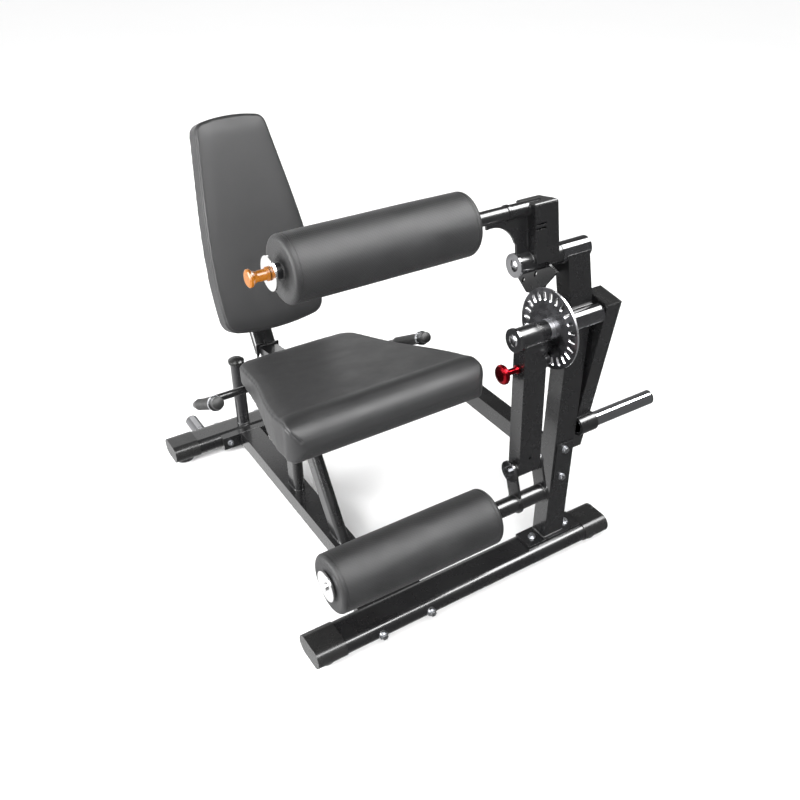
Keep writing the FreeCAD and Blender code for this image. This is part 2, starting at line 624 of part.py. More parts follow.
def index_disc():
    disc = rod_x(0, 0, DISC_R, DISC_X0, DISC_X1)
    disc = disc.fuse(rod_x(0, 0, 22, DISC_X1, HOUSING_X0 - 2)).fuse(rod_x(0, 0, HUB_R, HUB_X1 + GAP, DISC_X0))
    slots = []
    low, high = -SLOT_RING_R - SLOT_L / 2, -SLOT_RING_R + SLOT_L / 2
    for k in range(SLOT_COUNT):
        cut = box(DISC_X0 - 1, DISC_X1 + 1, -SLOT_R, SLOT_R, low, high)
        cut = cut.fuse(rod_x(0, low, SLOT_R, DISC_X0 - 1, DISC_X1 + 1))
        cut = cut.fuse(rod_x(0, high, SLOT_R, DISC_X0 - 1, DISC_X1 + 1))
        cut.rotate(V(0, 0, 0), XAX, k * 360.0 / SLOT_COUNT)
        slots.append(cut)
    disc = disc.cut(slots).cut(rod_x(0, 0, SHAFT_R, DISC_X0 - 40, 0))
    return disc.removeSplitter()


def on_axis(shape, tilt):
    return turned(shape, tilt, AXIS_Y, AXIS_Z)


def end_cap(x0, rim_r, dome_r):
    """Flanged cap on a hub's left end at x0, with a low dome outside it."""
    cap = rod_x(0, 0, rim_r, x0 - 7, x0)
    bulge = Part.makeSphere(dome_r, V(x0 - 7 + dome_r - 5, 0, 0))
    return joined([cap, bulge.common(rod_x(0, 0, rim_r / 2, x0 - 20, x0 - 7))])


def build_lever():
    shaft_x0, shaft_x1 = HUB_X0 - 2, WARM_X1 + 1.5
    shaft = rod_x(AXIS_Y, AXIS_Z, SHAFT_R, shaft_x0, shaft_x1)
    washer = rod_x(AXIS_Y, AXIS_Z, 21, shaft_x1, shaft_x1 + 3)
    head = hexagon(BOLT_AF, HEAD_T)
    head.translate(V(shaft_x1 + 3, AXIS_Y, AXIS_Z))
    save(group([shaft, joined([washer, head])]), "main_shaft")
    save(on_axis(index_disc(), SWING_TILT), "index_disc")
    save(on_axis(end_cap(shaft_x0, 35, 40), 0), "hub_end_cap")
    front, back, foot, top = -26, 66, -525, 34
    w = WARM_WALL
    arm = box(WARM_X0, WARM_X1, front, back, foot, top)
    arm = arm.cut(box(WARM_X0 + w, WARM_X1 - w, front + w, back - w, foot - 1, top + 1))
    arm = arm.cut(rod_x(0, 0, SHAFT_R, 0, 200)).cut(rod_x(PEG_Y, PEG_Z, 31, 0, 200))
    sleeve = tube_x(PEG_Y, PEG_Z, 31, PEG_SHANK_R, WARM_X0 + 1, PEG_X0 - STEP)
    save(on_axis(joined([arm, sleeve]), WEIGHT_TILT), "weight_arm")
    plugs = []
    for a, b, c, d in ((top, top + PLUG_T, top - 10, top), (foot - PLUG_T, foot, foot, foot + 10)):
        head = box(WARM_X0, WARM_X1, front, back, a, b)
        plugs.append(joined([head, box(WARM_X0 + w, WARM_X1 - w, front + w, back - w, c, d)]))
    peg_cap = rod_x(PEG_Y, PEG_Z, PEG_R, PEG_X1, PEG_X1 + PLUG_T)
    plugs.append(joined([peg_cap, rod_x(PEG_Y, PEG_Z, PEG_R - w, PEG_X1 - 14, PEG_X1)]))
    save(on_axis(group(plugs), WEIGHT_TILT), "weight_arm_plugs")
    peg = tube_x(PEG_Y, PEG_Z, PEG_R, PEG_R - w, PEG_X0, PEG_X1)
    shank = tube_x(PEG_Y, PEG_Z, PEG_SHANK_R, PEG_R - w, WARM_X0 + 1, PEG_X0)
    save(on_axis(joined([peg, shank]), WEIGHT_TILT), "weight_peg")


def build_swing_arm():
    bushes = []
    for a in (HUB_X0, HUB_X1 - BUSH_L):
        bushes.append(tube_x(AXIS_Y, AXIS_Z, BUSH_R, BORE_R, a, a + BUSH_L))
    save(group(bushes), "swing_bushes")
    h = SWING_D / 2
    low = -ANKLE_L - 14
    arm = box(SWING_X0, SWING_X1, -h, h, low, 0)
    arm = arm.cut(box(SWING_X0 + WALL, SWING_X1 - WALL, -h + WALL, h - WALL, low - 1, 1))
    arm = arm.cut(rod_x(0, 0, HUB_R, -300, 0)).cut(rod_x(0, -ANKLE_L, ANKLE_HUB_R, -300, 0))
    arm = arm.cut(rod_x(0, -SLOT_RING_R, PIN_R + 1, SWING_X0 - 1, SWING_X0 + 10))
    arm = arm.cut(rod_x(0, -SLOT_RING_R, PIN_R + 1, SWING_X1 - 10, SWING_X1 + 1))
    arm = arm.cut(rod_y((SWING_X0 + SWING_X1) / 2, -400, 5, -h - 1, -h + WALL + 1))
    arm = biggest(arm)
    hub = tube_x(0, 0, HUB_R, BUSH_R, HUB_X0, HUB_X1)
    sleeve = tube_x(0, -ANKLE_L, ANKLE_HUB_R, ANKLE_BORE_R, SWING_X0 - 4, SWING_X1 + 4)
    guide = tube_x(0, -SLOT_RING_R, 22, PIN_BORE_R, SWING_X1, DISC_X0 - 2.5)
    save(on_axis(joined([arm, hub, sleeve, guide]), SWING_TILT), "swing_arm")
    spring = coil_x(9, 1.6, SWING_X0 + WALL + GAP, COLLAR_X0 - GAP, 9)
    spring.translate(V(0, 0, -SLOT_RING_R))
    save(on_axis(spring, SWING_TILT), "pull_pin_spring")


def build_pull_pin():
    z = -SLOT_RING_R
    knob_x = SWING_X0 - 2.5
    pin = rod_x(0, z, PIN_R, knob_x - 1.5, DISC_X0 - 4).fuse(rod_x(0, z, 10, COLLAR_X0, COLLAR_X0 + COLLAR_T))
    pin = pin.fuse(rod_x(0, z, PIN_NOSE_R, DISC_X0 - 4, DISC_X1 - 1)).removeSplitter()
    save(on_axis(pin, SWING_TILT), "pull_pin")
    outline = [(0, 0), (0, 13), (-6, 13), (-12, 9), (-36, 9), (-44, 14), (-48, 27), (-51, 29),
               (-57, 29), (-61, 26), (-63.5, 18), (-64.5, 0)]
    knob = spun([(knob_x + p[0], p[1]) for p in outline]).cut(rod_x(0, 0, PIN_R, knob_x - 1.5, knob_x + 1))
    knob.translate(V(0, 0, z))
    save(on_axis(knob, SWING_TILT), "pull_knob")


def on_ankle(shape):
    y, z = ankle_pivot()
    return turned(shape, LINK_TILT, y, z)


def build_ankle():
    plates = []
    for x0, x1 in ((-213.0, -205.0), (-115.0, -107.0)):
        plate = rod_x(0, 0, 26, x0, x1).fuse(box(x0, x1, -26, 26, -LINK_L, 0))
        plate = plate.fuse(rod_x(0, -LINK_L, 33, x0, x1)).cut(rod_x(0, 0, ANKLE_BOLT_R, -300, 0))
        plates.append(plate.cut(rod_x(0, -LINK_L, LOW_TUBE_R - 1, -300, 0)))
    tube = tube_x(0, -LINK_L, LOW_TUBE_R, LOW_TUBE_R - 4, LOW_PAD_X0 - 4, -104)
    stop = tube_x(0, -LINK_L, 36, LOW_TUBE_R - 1, LOW_PAD_X1 + 3, LOW_PAD_X1 + 15)
    plug = rod_x(0, -LINK_L, LOW_TUBE_R - 4, -118, -104).fuse(rod_x(0, -LINK_L, LOW_TUBE_R, -104, -101))
    save(on_ankle(joined(plates + [tube, stop, plug])), "ankle_link")
    bolt = rod_x(0, 0, ANKLE_BOLT_R, -219, -94).fuse(rod_x(0, 0, 17, -227, -219)).removeSplitter()
    nut = hexagon(30, 12)
    nut.translate(V(-107, 0, 0))
    save(on_ankle(group([bolt, nut.cut(rod_x(0, 0, ANKLE_BOLT_R, -110, -90))])), "ankle_pivot_bolt")
    save(on_ankle(tube_x(0, 0, 34, ANKLE_BOLT_R, -219, -213)), "ankle_pivot_flange")
    end = LOW_PAD_X0 - 4
    disc = rod_x(0, 0, 45, end - 5, end).fuse(rod_x(0, 0, LOW_TUBE_R - 4, end, end + 16))
    disc = disc.fuse(rod_x(0, 0, 12, end - 10, end - 5)).removeSplitter()
    disc.translate(V(0, 0, -LINK_L))
    save(on_ankle(disc), "lower_end_disc")
    core, pad = roller(LOW_PAD_R, LOW_TUBE_R, LOW_PAD_X0, LOW_PAD_X1, -LINK_L)
    save(on_ankle(core), "lower_roller_core")
    save(on_ankle(pad), "lower_roller_pad")


def roller(pad_r, tube_r, x0, x1, z):
    """Roller core that runs on its tube, and the foam pad round the core."""
    core_r, e = tube_r + 3.0, 10.0
    core = tube_x(0, z, core_r, tube_r + 0.06, x0 - 1, x1 + 1)
    body = rod_x(0, 0, pad_r, x0, x1)
    body = body.makeFillet(e, [edge for edge in body.Edges if abs(edge.Length - 2 * math.pi * pad_r) < 1])
    body = body.cut(rod_x(0, 0, core_r, x0 - 1, x1 + 1))
    body.translate(V(0, 0, z))
    return core, body


# ---------------------------------------------------------------- thigh hold-down
def build_top_pivot():
    save(tube_x(TOP_Y, TOP_Z, HOUSING_R, SHAFT_R, SLEEVE_X0, UP_W + 8), "top_pivot_sleeve")
    pin_x0 = -162.5
    pin = rod_x(TOP_Y, TOP_Z, SHAFT_R, pin_x0, UP_W + 12)
    save(joined([pin, rod_x(TOP_Y, TOP_Z, 22, UP_W + 12, UP_W + 15)]), "thigh_pivot_pin")
    save(turned(end_cap(pin_x0, 34, 36), 0, TOP_Y, TOP_Z), "thigh_pivot_cap")
    save(lock_plate(), "thigh_lock_plate")


def ring_point(r, degrees):
    """Point in the lock plate's plane at radius r and an angle rearwards of straight up."""
    a = math.radians(degrees)
    return (LOCK_X0, r * math.sin(a), r * math.cos(a))


def lock_plate():
    """Quadrant plate with a hole for every setting of the thigh arm, and its bracket on the upright."""
    rim, eye = 160.0, HOUSING_R + 6
    a0, a1 = 3.0, 108.0
    edges = [arc(ring_point(rim, a0), ring_point(rim, (a0 + a1) / 2), ring_point(rim, a1)),
             line(ring_point(rim, a1), ring_point(eye, a1)),
             arc(ring_point(eye, a1), ring_point(eye, (a0 + a1) / 2), ring_point(eye, a0)),
             line(ring_point(eye, a0), ring_point(rim, a0))]
    plate = Part.Face(Part.Wire(Part.__sortEdges__(edges))).extrude(V(LOCK_X1 - LOCK_X0, 0, 0))
    for k in range(7):
        hole = ring_point(THIGH_L, -THIGH_TILT + LOCK_STEP * k)
        plate = plate.cut(rod_x(hole[1], hole[2], PIN_R + 0.4, LOCK_X0 - 1, LOCK_X1 + 1))
    plate.translate(V(0, TOP_Y, TOP_Z))
    bracket = box(LOCK_X0, 40, TOP_Y + 8, TOP_Y + 60, TOP_Z - 66, TOP_Z - 10)
    bracket = bracket.cut(rod_x(TOP_Y, TOP_Z, eye, LOCK_X0 - 1, SLEEVE_X0))
    bracket = bracket.cut(rod_x(TOP_Y, TOP_Z, HOUSING_R, SLEEVE_X0, 41))
    bracket = biggest(bracket.cut(prism_x(upright_profile(0.0), 0, UP_W)))
    return joined([plate, bracket])


def on_thigh(shape):
    return turned(shape, THIGH_TILT, TOP_Y, TOP_Z)


def thigh_arm():
    """Hub, square arm, roller tube, gusset, rings and fan plate, all welded together."""
    h = THIGH_D / 2
    w = WALL
    hub = tube_x(0, 0, HOUSING_R, BUSH_R, THIGH_HUB_X0, THIGH_HUB_X1)
    roll = rod_x(0, THIGH_L, UP_TUBE_R, UP_TUBE_X0, UP_TUBE_X1)
    arm = box(THIGH_X0, THIGH_X1, -h, h, 0, THIGH_TOP)
    arm = arm.cut(box(THIGH_X0 + w, THIGH_X1 - w, -h + w, h - w, -1, THIGH_TOP + 1))
    arm = arm.cut(rod_x(0, 0, HOUSING_R, -300, 50)).cut(roll)
    arm = arm.cut(rod_x(0, THIGH_L, PIN_R + 1, THIGH_X1 - 10, THIGH_X1 + 1))
    for s in (93, 105):
        arm = arm.cut(box(THIGH_X0 + 2, THIGH_X0 + 38, -h - 1, -h + w + 1, s, s + 5))
    arm = sorted(arm.Solids, key=lambda s: -s.BoundBox.ZMax)[0]
    tube = roll.cut(rod_x(0, THIGH_L, UP_TUBE_R - w, UP_TUBE_X0 - 1, UP_TUBE_X1 + 1))
    gusset = box(-255, THIGH_X0, -4, 4, 20, THIGH_L).cut(rod_x(0, THIGH_L, UP_TUBE_R - 1, -300, 0))
    gusset = gusset.cut(rod_x(0, 0, HOUSING_R - 1, THIGH_HUB_X0, 0)).cut(rod_y(-240, 38, 80, -10, 10))
    gusset = gusset.cut(box(-300, THIGH_HUB_X0, -10, 10, 0, 60)).cut(box(-300, -100, -10, 10, THIGH_L, 300))
    gusset = biggest(gusset)
    ring = tube_x(0, THIGH_L, UP_RING_R, UP_TUBE_R - 1, UP_RING_X0, UP_RING_X1)
    stop = tube_x(0, THIGH_L, 30, UP_TUBE_R - 1, UP_PAD_X1 + 3, UP_PAD_X1 + 13)
    guides = []
    for x0, x1 in ((UP_TUBE_X0, UP_TUBE_X0 + 20), (RELEASE_STOP_X - 12, RELEASE_STOP_X),
                   (UP_TUBE_X1 - 15, UP_TUBE_X1)):
        guides.append(tube_x(0, THIGH_L, UP_TUBE_R - w, PIN_BORE_R, x0, x1))
    return joined([on_thigh(joined([hub, arm, tube, gusset, ring, stop] + guides)), fan_plate()])


def build_thigh_arm():
    save(thigh_arm(), "thigh_arm")
    h = THIGH_D / 2
    cap = box(THIGH_X0, THIGH_X1, -h, h, THIGH_TOP, THIGH_TOP + 6)
    cap = cap.makeChamfer(3, [e for e in cap.Edges if e.BoundBox.ZMin > THIGH_TOP + 5])
    cap = cap.cut(rod_x(0, THIGH_L, UP_TUBE_R, UP_TUBE_X0, UP_TUBE_X1))
    save(on_thigh(biggest(cap)), "thigh_arm_cap")
    bushes = []
    for a in (THIGH_HUB_X0, THIGH_HUB_X1 - BUSH_L):
        bushes.append(tube_x(0, 0, BUSH_R, BORE_R, a, a + BUSH_L))
    save(on_thigh(group(bushes)), "thigh_bushes")
    spring = coil_x(9, 1.6, RELEASE_STOP_X + GAP, RELEASE_COLLAR_X - GAP, 9)
    spring.translate(V(0, 0, THIGH_L))
    save(on_thigh(spring), "release_spring")
    disc = tube_x(0, THIGH_L, 42, PIN_R + 1, UP_TUBE_X0 - 5, UP_TUBE_X0)
    save(on_thigh(disc), "upper_end_disc")
    core, pad = roller(UP_PAD_R, UP_TUBE_R, UP_PAD_X0, UP_PAD_X1, THIGH_L)
    save(on_thigh(core), "upper_roller_core")
    save(on_thigh(pad), "upper_roller_pad")


def build_release():
    knob_x = UP_TUBE_X0 - 6
    rod = rod_x(0, THIGH_L, PIN_R, knob_x - 2, LOCK_X1 + 1)
    collar = rod_x(0, THIGH_L, 11, RELEASE_COLLAR_X, RELEASE_COLLAR_X + COLLAR_T)
    save(on_thigh(joined([rod, collar])), "release_rod")
    tip = RELEASE_X0 - knob_x
    outline = [(0, 0), (0, 17), (-4, 17), (-7, 14), (-30, 13), (tip + 14, 16), (tip + 8, 22),
               (tip + 3, 22), (tip, 18), (tip, 0)]
    knob = spun([(knob_x + p[0], p[1]) for p in outline]).cut(rod_x(0, 0, PIN_R, knob_x - 2, knob_x + 1))
    knob.translate(V(0, 0, THIGH_L))
    save(on_thigh(knob), "release_knob")


def fan_plate():
    """Plate under the thigh hub, in the plane beside the index disc, with two slots."""
    corners = [(-12, 1098), (30, 1040), (44, 1008), (104, 990), (150, 1022),
               (141, 1062), (98, 1104), (67, 1108), (20, 1108)]
    plate = prism_x(corners, -84, -76).cut(rod_x(TOP_Y, TOP_Z, HOUSING_R - 1, -100, 0))
    for y, z in ((121.0, 1022.0), (72.0, 1060.0)):
        hole = box(-90, -70, -4, 4, -6, 6).fuse(rod_x(0, 6, 4, -90, -70)).fuse(rod_x(0, -6, 4, -90, -70))
        plate = plate.cut(turned(hole, 20, y, z))
    return biggest(plate)


build_beams()
build_spine()
build_frame_fasteners()
build_storage()
build_upright()
build_link()
build_seat_frame()
build_seat()
build_handles()
build_back()
build_bearings()
build_lever()
build_swing_arm()
build_pull_pin()
build_ankle()
build_top_pivot()
build_thigh_arm()
build_release()
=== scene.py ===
import json
import math

import bmesh
import bpy
import numpy as np
from mathutils import Matrix, Vector, kdtree, noise
from mathutils.bvhtree import BVHTree


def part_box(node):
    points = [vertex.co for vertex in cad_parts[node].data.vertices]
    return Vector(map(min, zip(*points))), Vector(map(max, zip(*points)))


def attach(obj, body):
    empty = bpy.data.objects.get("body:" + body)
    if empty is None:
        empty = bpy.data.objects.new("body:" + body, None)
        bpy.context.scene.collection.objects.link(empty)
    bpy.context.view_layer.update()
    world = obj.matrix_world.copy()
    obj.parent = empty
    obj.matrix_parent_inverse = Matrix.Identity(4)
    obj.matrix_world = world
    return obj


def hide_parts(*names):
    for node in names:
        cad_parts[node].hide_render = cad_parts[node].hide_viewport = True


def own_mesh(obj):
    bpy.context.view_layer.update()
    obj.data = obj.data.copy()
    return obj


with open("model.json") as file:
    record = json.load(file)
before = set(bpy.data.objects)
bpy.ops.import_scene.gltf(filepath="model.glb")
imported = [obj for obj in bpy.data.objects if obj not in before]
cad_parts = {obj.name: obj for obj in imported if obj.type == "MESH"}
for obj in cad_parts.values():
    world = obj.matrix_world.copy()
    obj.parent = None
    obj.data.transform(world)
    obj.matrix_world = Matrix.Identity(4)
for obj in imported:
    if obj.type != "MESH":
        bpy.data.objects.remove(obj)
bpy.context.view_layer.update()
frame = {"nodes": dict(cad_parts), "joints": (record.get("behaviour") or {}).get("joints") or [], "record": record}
scene = bpy.context.scene
nodes = frame["nodes"]
MM = 0.001
pivots = {joint["name"]: Vector(joint["pos_m"]) for joint in frame["joints"] if "pos_m" in joint}

# Places in millimetres are from the point on the floor below the upright's front left edge. The
# lever's pivot is in the plane of the upright's left face, 20 mm ahead of its front face. Left and
# right are as seen from the front.
PIVOT_AHEAD = 20 * MM
CORNER = Vector((pivots["lever_swing"].x, pivots["lever_swing"].y + PIVOT_AHEAD, 0))
SEAT_X = (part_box("seat_pad")[0].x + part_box("seat_pad")[1].x) / 2


def at(x, y, z):
    """A point given in millimetres from the floor below the upright's corner."""
    return CORNER + Vector((x, y, z)) * MM


# ---------------------------------------------------------------- materials
# Noise and cell scales are per metre, colours are linear.
class Finish:
    """A Principled material and the nodes that feed it. Textures lie in the object's own metres."""

    def __init__(self, name, colour, rough, metal=0.0, **fixed):
        self.mat = bpy.data.materials.new(name)
        self.mat.use_nodes = True
        self.tree = self.mat.node_tree
        self.shader = self.tree.nodes["Principled BSDF"]
        self.colour = colour
        self.place = self.tree.nodes.new("ShaderNodeTexCoord")
        self.put(self.shader, "Base Color", (*colour, 1.0))
        self.put(self.shader, "Roughness", rough)
        self.put(self.shader, "Metallic", metal)
        for key, value in fixed.items():
            self.put(self.shader, key.replace("_", " "), value)

    def put(self, node, socket, value):
        if isinstance(value, bpy.types.NodeSocket):
            self.tree.links.new(value, node.inputs[socket])
        else:
            node.inputs[socket].default_value = value

    def node(self, kind, inputs=(), **settings):
        made = self.tree.nodes.new("ShaderNode" + kind)
        for key, value in settings.items():
            setattr(made, key, value)
        for socket, value in dict(inputs).items():
            self.put(made, socket, value)
        return made

    def math(self, operation, a, b=0.0):
        return self.node("Math", {0: a, 1: b}, operation=operation).outputs[0]

    def where(self, stretch=(1, 1, 1), uv=False):
        source = self.place.outputs["UV" if uv else "Object"]
        return self.node("Mapping", {"Vector": source, "Scale": stretch}).outputs[0]

    def noise(self, scale, detail=2.0, stretch=(1, 1, 1)):
        return self.node("TexNoise", {"Vector": self.where(stretch), "Scale": scale,
                                      "Detail": detail}).outputs["Fac"]

    def cells(self, scale, feature="F1", wobble=0.0):
        place = self.where()
        if wobble:
            stir = self.node("TexNoise", {"Vector": place, "Scale": scale * 0.6})
            part = self.node("VectorMath", {0: stir.outputs["Color"], "Scale": wobble},
                             operation="SCALE").outputs[0]
            place = self.node("VectorMath", {0: place, 1: part}, operation="ADD").outputs[0]
        return self.node("TexVoronoi", {"Vector": place, "Scale": scale},
                         feature=feature).outputs["Distance"]

    def remap(self, value, low, high, a, b):
        return self.node("MapRange", {"Value": value, "From Min": low, "From Max": high,
                                      "To Min": a, "To Max": b}).outputs[0]

    def tint(self, amount, darker, lighter):
        """Base colour between two shares of the finish's own colour."""
        pair = [(*[c * share for c in self.colour], 1.0) for share in (darker, lighter)]
        self.blend(amount, *pair)

    def blend(self, amount, a, b):
        mixed = self.node("Mix", {"Factor": amount}, data_type="RGBA")
        self.put(mixed, 6, a)
        self.put(mixed, 7, b)
        self.put(self.shader, "Base Color", mixed.outputs[2])
        return mixed.outputs[2]

    def rough(self, amount, a, b):
        """Roughness from a to b over the span that noise mostly stays in."""
        self.put(self.shader, "Roughness", self.remap(amount, 0.3, 0.7, a, b))

    def rounded(self, radius):
        return self.node("Bevel", {"Radius": radius}, samples=6).outputs[0]

    def edges(self, radius, gain):
        """1 along worn edges, 0 elsewhere."""
        flat = self.node("NewGeometry").outputs["Normal"]
        facing = self.node("VectorMath", {0: self.rounded(radius), 1: flat}, operation="DOT_PRODUCT")
        off = self.math("SUBTRACT", 1.0, facing.outputs["Value"])
        return self.node("Math", {0: off, 1: gain}, operation="MULTIPLY", use_clamp=True).outputs[0]

    def bump(self, height, depth, normal=None, strength=1.0):
        made = self.node("Bump", {"Height": height, "Distance": depth, "Strength": strength})
        if normal is not None:
            self.put(made, "Normal", normal)
        self.put(self.shader, "Normal", made.outputs[0])


def powder_coat(name, colour):
    made = Finish(name, colour, 0.27, Specular_IOR_Level=0.5, Coat_Weight=0.6, Coat_Roughness=0.12)
    patches = made.noise(6.0, 3.0)
    made.rough(made.noise(14.0, 4.0), 0.23, 0.32)
    body = made.blend(patches, *[(*[c * k for c in colour], 1.0) for k in (0.86, 1.16)])
    bare = made.remap(made.noise(60.0), 0.4, 0.65, 0.0, 0.5)
    worn = made.math("MULTIPLY", made.edges(1.6 * MM, 1.4), bare)
    made.blend(worn, body, (*[c * 2.6 + 0.02 for c in colour], 1.0))
    made.bump(made.noise(700.0, 2.0), 0.012 * MM, made.rounded(1.2 * MM), 0.6)
    return made.mat


def gloss_paint(name, colour):
    made = Finish(name, colour, 0.12, Coat_Weight=1.0, Coat_Roughness=0.04)
    made.tint(made.noise(9.0, 3.0), 0.8, 1.3)
    made.rough(made.noise(40.0, 5.0), 0.07, 0.2)
    made.bump(made.noise(260.0, 2.0), 0.012 * MM, made.rounded(0.8 * MM), 0.6)
    return made.mat


def plastic(name, colour, low, high, grain, depth):
    made = Finish(name, colour, low, Specular_IOR_Level=0.5)
    made.tint(made.noise(18.0, 3.0), 0.85, 1.2)
    made.rough(made.noise(30.0, 4.0), low, high)
    made.bump(made.cells(grain), depth, made.rounded(1.5 * MM))
    return made.mat


def metal(name, colour, low, high, streak=(1, 1, 1)):
    made = Finish(name, colour, low, 1.0)
    made.tint(made.noise(12.0, 3.0), 0.88, 1.06)
    made.rough(made.noise(25.0, 5.0), low, high)
    made.bump(made.noise(500.0, 3.0, streak), 0.01 * MM, made.rounded(0.6 * MM), 0.8)
    return made.mat


def zinc(name, colour):
    made = Finish(name, colour, 0.25, 1.0)
    spangle = made.cells(260.0)
    made.tint(spangle, 0.8, 1.15)
    made.put(made.shader, "Roughness", made.remap(spangle, 0.0, 0.8, 0.18, 0.36))
    made.bump(made.noise(420.0, 3.0), 0.02 * MM, made.rounded(0.7 * MM))
    return made.mat


def turned_steel(name, colour, centre):
    """Steel with the fine rings that facing it on a lathe leaves, round an axis along x."""
    made = Finish(name, colour, 0.3, 1.0)
    shifted = made.node("VectorMath", {0: made.place.outputs["Object"], 1: (0.0, centre.y, centre.z)},
                        operation="SUBTRACT").outputs[0]
    flat = made.node("VectorMath", {0: shifted, 1: (0.0, 1.0, 1.0)}, operation="MULTIPLY").outputs[0]
    radius = made.node("VectorMath", {0: flat}, operation="LENGTH").outputs["Value"]
    rings = made.node("TexNoise", {"W": radius, "Scale": 1500.0, "Detail": 2.0},
                      noise_dimensions="1D").outputs["Fac"]
    facing = made.node("SeparateXYZ", {0: made.place.outputs["Normal"]}).outputs["X"]
    side = made.math("GREATER_THAN", made.math("ABSOLUTE", facing), 0.7)
    dull = [(*[c * k for c in colour], 1.0) for k in (0.8, 1.15)]
    made.blend(side, (0.9, 0.9, 0.92, 1.0), made.blend(made.noise(8.0, 3.0), *dull))
    made.rough(made.noise(30.0, 4.0), 0.22, 0.34)
    made.bump(rings, 0.03 * MM, made.rounded(0.5 * MM), 0.7)
    return made.mat


def vinyl(name, colour):
    made = Finish(name, colour, 0.44, Specular_IOR_Level=0.25, Sheen_Weight=0.02, Sheen_Roughness=0.5)
    grain = made.cells(520.0, "DISTANCE_TO_EDGE", 0.0011)
    pores = made.noise(1400.0, 2.0)
    made.tint(made.math("ADD", made.math("MULTIPLY", grain, 0.5), made.noise(7.0, 4.0)), 0.84, 1.12)
    made.rough(made.noise(11.0, 4.0), 0.38, 0.5)
    height = made.math("ADD", made.remap(grain, 0.0, 0.25, 0.0, 1.0), made.math("MULTIPLY", pores, 0.4))
    made.bump(height, 0.12 * MM, None, 0.6)
    return made.mat


def twill(name, colour, pitch):
    """Foam cover with fine diagonal ribs. Its UV map is in metres along and round the roller."""
    made = Finish(name, colour, 0.5, Specular_IOR_Level=0.32, Sheen_Weight=0.02, Sheen_Roughness=0.5)
    split = made.node("SeparateXYZ", {0: made.where(uv=True)})
    u, v = split.outputs["X"], split.outputs["Y"]
    turn = 2 * math.pi / (pitch * math.sqrt(2))
    ribs = made.math("SINE", made.math("MULTIPLY", made.math("ADD", u, v), turn))
    cross = made.math("SINE", made.math("MULTIPLY", made.math("SUBTRACT", u, v), turn * 0.5))
    height = made.math("ADD", ribs, made.math("MULTIPLY", cross, 0.4))
    # The ribs' height also darkens the grooves and lightens the crests in the colour: painted shade on the relief;
    # the noise adds random tone.
    made.tint(made.math("ADD", made.math("MULTIPLY", height, 0.12), made.noise(9.0, 4.0)), 0.6, 1.35)
    made.rough(made.noise(16.0, 3.0), 0.42, 0.54)
    made.bump(height, 0.2 * MM, None, 0.8)
    return made.mat


def foam_end(name, colour):
    made = Finish(name, colour, 0.6, Specular_IOR_Level=0.35, Sheen_Weight=0.08, Sheen_Roughness=0.5)
    made.tint(made.noise(13.0, 4.0), 0.85, 1.15)
    made.rough(made.noise(20.0, 3.0), 0.52, 0.66)
    made.bump(made.noise(900.0, 3.0), 0.09 * MM)
    return made.mat


def stained_wood(name, colour):
    made = Finish(name, colour, 0.6, Specular_IOR_Level=0.35)
    rings = made.noise(9.0, 6.0, (14.0, 1.2, 14.0))
    made.tint(rings, 0.5, 1.7)
    made.rough(made.noise(30.0, 3.0), 0.5, 0.7)
    made.bump(rings, 0.12 * MM, made.rounded(0.8 * MM))
    return made.mat


PAINT = (0.006, 0.006, 0.0064)
finishes = {
    "frame_paint": powder_coat("powder_coat", PAINT),
    "gloss_black": gloss_paint("gloss_black_paint", (0.012, 0.012, 0.013)),
    "black_plastic": plastic("moulded_plastic", (0.012, 0.012, 0.012), 0.2, 0.3, 900.0, 0.012 * MM),
    "rubber_black": plastic("black_rubber", (0.018, 0.018, 0.018), 0.5, 0.7, 700.0, 0.08 * MM),
    "core_plastic": plastic("core_plastic", (0.03, 0.03, 0.03), 0.35, 0.5, 900.0, 0.03 * MM),
    "vinyl": vinyl("pad_vinyl", (0.017, 0.017, 0.0175)),
    "roller_foam": twill("roller_cover", (0.014, 0.014, 0.0145), 4.0 * MM),
    "plywood": stained_wood("stained_plywood", (0.045, 0.037, 0.032)),
    "zinc_steel": zinc("zinc_plate", (0.5, 0.51, 0.53)),
    "chrome": metal("polished_chrome", (0.55, 0.56, 0.58), 0.05, 0.13),
    "ground_steel": metal("ground_steel", (0.5, 0.5, 0.52), 0.2, 0.34, streak=(1, 40, 40)),
    "bronze": metal("sintered_bronze", (0.6, 0.42, 0.2), 0.35, 0.5),
    "red_anodised": metal("red_anodised", (0.3, 0.008, 0.014), 0.14, 0.24),
    "orange_plastic": plastic("orange_plastic", (0.2, 0.066, 0.003), 0.16, 0.3, 800.0, 0.012 * MM),
}
dark_chrome = metal("black_chrome", (0.3, 0.3, 0.31), 0.06, 0.16)
disc_steel = turned_steel("faced_disc", (0.16, 0.16, 0.17), pivots["lever_swing"])
bright_disc = metal("bright_disc", (0.95, 0.95, 0.95), 0.12, 0.25)
end_cover = foam_end("roller_end_cover", (0.027, 0.027, 0.028))
grip_rubber = plastic("grip_rubber", (0.006, 0.006, 0.006), 0.4, 0.55, 700.0, 0.05 * MM)
thread = plastic("seam_thread", (0.03, 0.03, 0.031), 0.5, 0.7, 3000.0, 0.05 * MM)
special = {"index_disc": disc_steel, "hub_end_cap": dark_chrome, "thigh_pivot_cap": dark_chrome,
           "ankle_pivot_flange": dark_chrome, "upper_end_disc": bright_disc,
           "lower_end_disc": bright_disc, "storage_post": finishes["gloss_black"],
           "storage_peg": dark_chrome}


def dress(piece, material):
    piece.data.materials.clear()
    piece.data.materials.append(material)


for part in frame["record"]["subparts"]:
    dress(nodes[part["node"]], special.get(part["node"], finishes[part["material_slot"]]))


# ---------------------------------------------------------------- mesh helpers
def place(name, mesh, material, slot, body):
    """Links a finished mesh, paints it and lets it ride on a body."""
    made = bpy.data.objects.new(name, mesh)
    scene.collection.objects.link(made)
    dress(made, material)
    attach(made, body)
    return made


